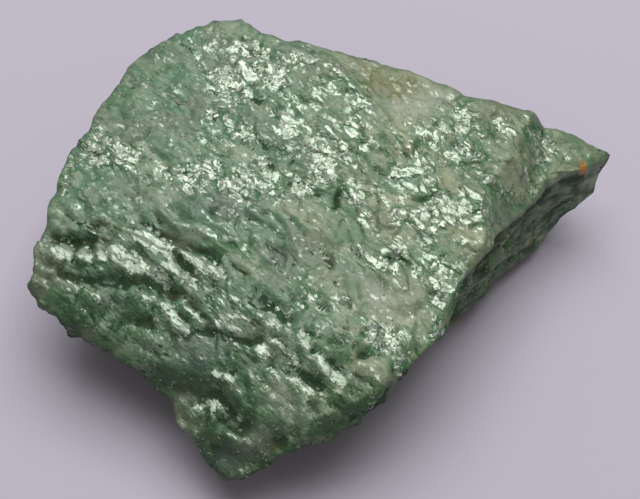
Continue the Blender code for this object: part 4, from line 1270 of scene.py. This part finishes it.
paleness = blend_numbers(tree, leaf["Chance"], blend_numbers(tree, slope, 0.35, 0.45), 0.80)
body = blend_colours(tree, times(tree, silver_and_painted_sheen, paleness), rock, FOIL_PALE)
body = blend_colours(tree, times(tree, torn_edge, 0.8), body, TORN_GREEN)
rock_rough = blend_numbers(tree, ramp(tree, shade_and_dirt, 0.30, 0.90), ROCK_ROUGH, DIRT_ROUGH)
metal = blend_numbers(tree, sheet["Chance"], 0.30, blend_numbers(tree, slope, 0.70, 0.55))
metal = product(tree, silver_and_painted_sheen, metal, maths(tree, "SUBTRACT", 1.0, torn_edge))
fill(tree, shader, {
    "Base Color": body,
    "Roughness": blend_numbers(tree, silver_and_painted_sheen, rock_rough, FOIL_ROUGH),
    "Metallic": metal,
    "Normal": bump.outputs[0],
    "IOR": MICA_IOR,
})
skin.data.materials.append(skin_finish)
print("skin material nodes:", len(tree.nodes))

# %% [markdown]
# ## Loose-edged mica flakes
# Real flakes stand a little proud of the rock and overlap like torn foil, which a flat finish can't show.
# Each flake here is a thin six-sided plate with a low crown: twelve triangles, closed, with its own size,
# lean and tone. They are scattered by chance over the skin's cells, mostly where the bright mica lies, and
# joined into one mesh.

# %% Draw cells and place flakes on them

def choose_cells(weights, count, chooser):
    """Draws cells by chance, a cell's chance being in proportion to its weight."""
    total = np.cumsum(weights)
    return np.searchsorted(total, chooser.random(count) * total[-1])


def flake_places(cells_drawn, chooser, lift):
    """A place inside each drawn cell, its corners blended by two random shares and then lifted off the rock,
    and the way out there."""
    u, v = chooser.random((2, len(cells_drawn), 1))
    corner = skin_points[quads[cells_drawn]]
    low = corner[:, 0] + (corner[:, 1] - corner[:, 0]) * u
    high = corner[:, 3] + (corner[:, 2] - corner[:, 3]) * u
    outward = leaf_normals[quads[cells_drawn]].mean(axis=1)
    return low + (high - low) * v + outward * lift, outward


print("cells that a flake can lie on:", len(quads))

# %% Shape the flakes
FLAKE_SIDES = 6
LARGEST_FLAKE = 1.7    # times the middle size
CROWN_RISE = 0.05      # as shares of a flake's size
UNDER_DROP = 0.12
RIM_CURL = 0.06


def unit(vectors):
    """Vectors brought to length one."""
    return vectors / np.linalg.norm(vectors, axis=1, keepdims=True)


def flake_mesh(centres, outward, size, tilt, chooser):
    """Six rim points round each centre in its own leaning plane, a raised crown and a point under it."""
    count = len(centres)
    normal = unit(outward + tilt * chooser.normal(size=(count, 3)))
    side = unit(np.cross(normal, chooser.normal(size=(count, 3))))
    other = np.cross(normal, side)
    turn = np.arange(FLAKE_SIDES) + 0.35 * chooser.uniform(-1, 1, (count, FLAKE_SIDES))
    turn = turn * 2 * np.pi / FLAKE_SIDES
    half = 0.5 * size[:, None] * chooser.uniform(0.7, 1.15, (count, FLAKE_SIDES))
    along, across = half * np.cos(turn), half * np.sin(turn) * chooser.uniform(0.5, 0.95, (count, 1))
    curl = RIM_CURL * size[:, None] * chooser.uniform(-1, 1, (count, FLAKE_SIDES))
    rim_points = (centres[:, None] + along[..., None] * side[:, None] + across[..., None] * other[:, None]
                  + curl[..., None] * normal[:, None])
    crown = centres + normal * (CROWN_RISE * size[:, None])
    under = centres - normal * (UNDER_DROP * size[:, None])
    points = np.concatenate([rim_points, crown[:, None], under[:, None]], axis=1).reshape(-1, 3)
    step = np.arange(FLAKE_SIDES)
    after = (step + 1) % FLAKE_SIDES
    top = np.stack([step, after, np.full(FLAKE_SIDES, FLAKE_SIDES)], axis=-1)
    bottom = np.stack([after, step, np.full(FLAKE_SIDES, FLAKE_SIDES + 1)], axis=-1)
    one = np.concatenate([top, bottom])
    faces = (np.arange(count)[:, None, None] * (FLAKE_SIDES + 2) + one).reshape(-1, 3)
    return points, faces


def add_flakes(name, count, weights, size_mm, spread, tilt, lift, seed):
    """A mesh of flakes with a random tone each, their sizes spread round the middle size."""
    chooser = np.random.default_rng(seed)
    drawn = choose_cells(weights, count, chooser)
    centres, outward = flake_places(drawn, chooser, lift)
    size = size_mm * np.minimum(np.exp(spread * chooser.normal(size=count)), LARGEST_FLAKE)
    points, faces = flake_mesh(centres, outward, size, tilt, chooser)
    piece = add_piece(name, points, faces, False)
    add_values(piece, "tone", np.repeat(chooser.random(count), FLAKE_SIDES + 2))
    print(name, "triangles:", len(faces))
    return piece


print("triangles in a flake:", 2 * FLAKE_SIDES)

# %% [markdown]
# ## Where the flakes lie
# A cell's chance of a flake grows with its area and its mica. Sharp edges and the lowest half millimetre get
# none, because a flake there would stick out past the outline or into the ground. On the folded slope the
# skin's own facets do the work, so it has few bright ones.

# %% Weigh the cells and scatter both kinds of flakes
corners = skin_points[quads]
cell_area = 0.5 * np.linalg.norm(
    np.cross(corners[:, 2] - corners[:, 0], corners[:, 3] - corners[:, 1]), axis=1)
cell_mica, cell_sunk, cell_slope = (value[quads].mean(axis=1) for value in (mica, sunk_near, slope_share))
lying_well = fade((cell_sunk + 0.22) / 0.12) * fade(corners[:, :, 2].mean(axis=1) - 0.5)
bright_weights = cell_area * fade((cell_mica - 0.35) / 0.5) ** 1.5 * (1.0 - 0.97 * cell_slope) * lying_well
green_weights = cell_area * (0.25 + fade((cell_mica - 0.05) / 0.4)) * lying_well
green_weights = green_weights * fade(1.0 - cell_sunk / 0.25)
bright_flakes = add_flakes("bright_mica_flakes", 1000, bright_weights, size_mm=0.95, spread=0.3,
                           tilt=0.05, lift=0.02, seed=SEED + 200)
green_flakes = add_flakes("green_mica_flakes", 4000, green_weights, size_mm=0.5, spread=0.4,
                          tilt=0.14, lift=0.0, seed=SEED + 201)
print("skin area, square mm:", round(float(cell_area.sum())))

# %% [markdown]
# ## The finish of the flakes
# A flake is a mirror with a green tint: thin ones look silvery and thick ones green. Each flake's tone picks
# its place between the two.

# %% The flakes' materials
FLAKE_FACET_MM = 0.3
FLAKE_FACET_TILT = 0.22


def flake_finish(name, dark, light, metallic, roughness):
    """Mica foil: its colour runs from dark to light with the flake's tone, its facets lean a little."""
    material, tree, shader = new_material(name)
    leaf = use_group(tree, facets, {
        "Vector": put(tree, "TexCoord").outputs["Object"],
        "Normal": put(tree, "NewGeometry").outputs["Normal"],
        "Size": FLAKE_FACET_MM,
        "Tilt": FLAKE_FACET_TILT})
    tone = weighted(tree, (read(tree, "tone"), 0.75), (leaf["Chance"], 0.25))
    fill(tree, shader, {
        "Base Color": blend_colours(tree, tone, dark, light), "Normal": leaf["Normal"],
        "Metallic": metallic, "Roughness": roughness, "IOR": MICA_IOR})
    return material


bright_flakes.data.materials.append(
    flake_finish("silver_mica", (0.30, 0.40, 0.27, 1.0), (0.62, 0.70, 0.60, 1.0), 0.40, 0.33))
green_flakes.data.materials.append(
    flake_finish("green_mica", (0.04, 0.11, 0.04, 1.0), (0.26, 0.34, 0.22, 1.0), 0.0, 0.36))
print("materials:", [material.name for material in bpy.data.materials])

# %% [markdown]
# ## Join the pieces to the stone
# The skin and both meshes of flakes are one stone. They ride on its body, and the skin stands in for the
# solid.

# %% Ride and replace
for piece in (skin, bright_flakes, green_flakes):
    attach(piece, "root")
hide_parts(STONE)
print("pieces:", [piece.name for piece in (skin, bright_flakes, green_flakes)])

# %% [markdown]
# ## Floor, light and camera
# The stone lies on plain pale lilac-grey card. One wide soft light stands behind and above, so that level
# mica mirrors it to the viewer, and slopes that face the viewer stay deep green. A dim even sky fills the
# shadows. The camera looks down steeply from the front.

# %% Floor
CARD_HALF = 900.0      # millimetres
CARD_LILAC = (0.60, 0.565, 0.680, 1.0)


def pale_card():
    """A wide square of matt lilac-grey card at the resting plane."""
    corners = CARD_HALF * np.array([(-1.0, -1.0, 0.0), (1.0, -1.0, 0.0), (1.0, 1.0, 0.0), (-1.0, 1.0, 0.0)])
    card = add_piece("pale_card", corners, np.array([[0, 1, 2, 3]]), False)
    material, tree, shader = new_material("matt_card")
    fill(tree, shader, {"Base Color": CARD_LILAC, "Roughness": 0.85, "Specular IOR Level": 0.15})
    card.data.materials.append(material)
    return card


floor = pale_card()
print("floor ready")

# %% Lights
WINDOW_WHITE = (1.0, 0.985, 0.965)
SKY_WHITE = (1.0, 0.94, 0.90, 1.0)
SKY_STRENGTH = 0.19


def soft_light(name, azimuth, elevation, distance, size, watts, colour):
    """A square light aimed at the stone; azimuth 0 stands behind it, at +Y, and 90 at +X."""
    turn, tilt = np.radians(azimuth), np.radians(elevation)
    place = Vector((np.sin(turn) * np.cos(tilt), np.cos(turn) * np.cos(tilt), np.sin(tilt))) * distance
    lamp = bpy.data.lights.new(name, "AREA")
    lamp.size = size
    lamp.energy = watts
    lamp.color = colour
    light = bpy.data.objects.new(name, lamp)
    light.location = place
    light.rotation_euler = (-place).to_track_quat("-Z", "Y").to_euler()
    bpy.context.scene.collection.objects.link(light)


soft_light("window", azimuth=10.0, elevation=72.0, distance=0.9, size=0.8, watts=7.2, colour=WINDOW_WHITE)
sky = bpy.data.worlds.new("dim sky")
bpy.context.scene.world = sky
sky.use_nodes = True
fill(sky.node_tree, sky.node_tree.nodes["Background"], {0: SKY_WHITE, 1: SKY_STRENGTH})
print("lights:", [light.name for light in bpy.data.lights])

# %% Camera
CAMERA_ELEVATION = 58.0
CAMERA_DISTANCE = 0.246
LENS_MM = 85.0
AIM = Vector((-middle[0], -middle[1], 14.0)) * MM

tilt = np.radians(CAMERA_ELEVATION)
camera = bpy.data.objects.new("camera", bpy.data.cameras.new("camera"))
camera.data.lens = LENS_MM
camera.data.clip_start = 0.01
camera.location = AIM + Vector((0.0, -np.cos(tilt), np.sin(tilt))) * CAMERA_DISTANCE
camera.rotation_euler = (AIM - camera.location).to_track_quat("-Z", "Y").to_euler()
bpy.context.scene.collection.objects.link(camera)
bpy.context.scene.camera = camera
bpy.context.scene.view_settings.view_transform = "Standard"
print("camera at", [round(value, 3) for value in camera.location])
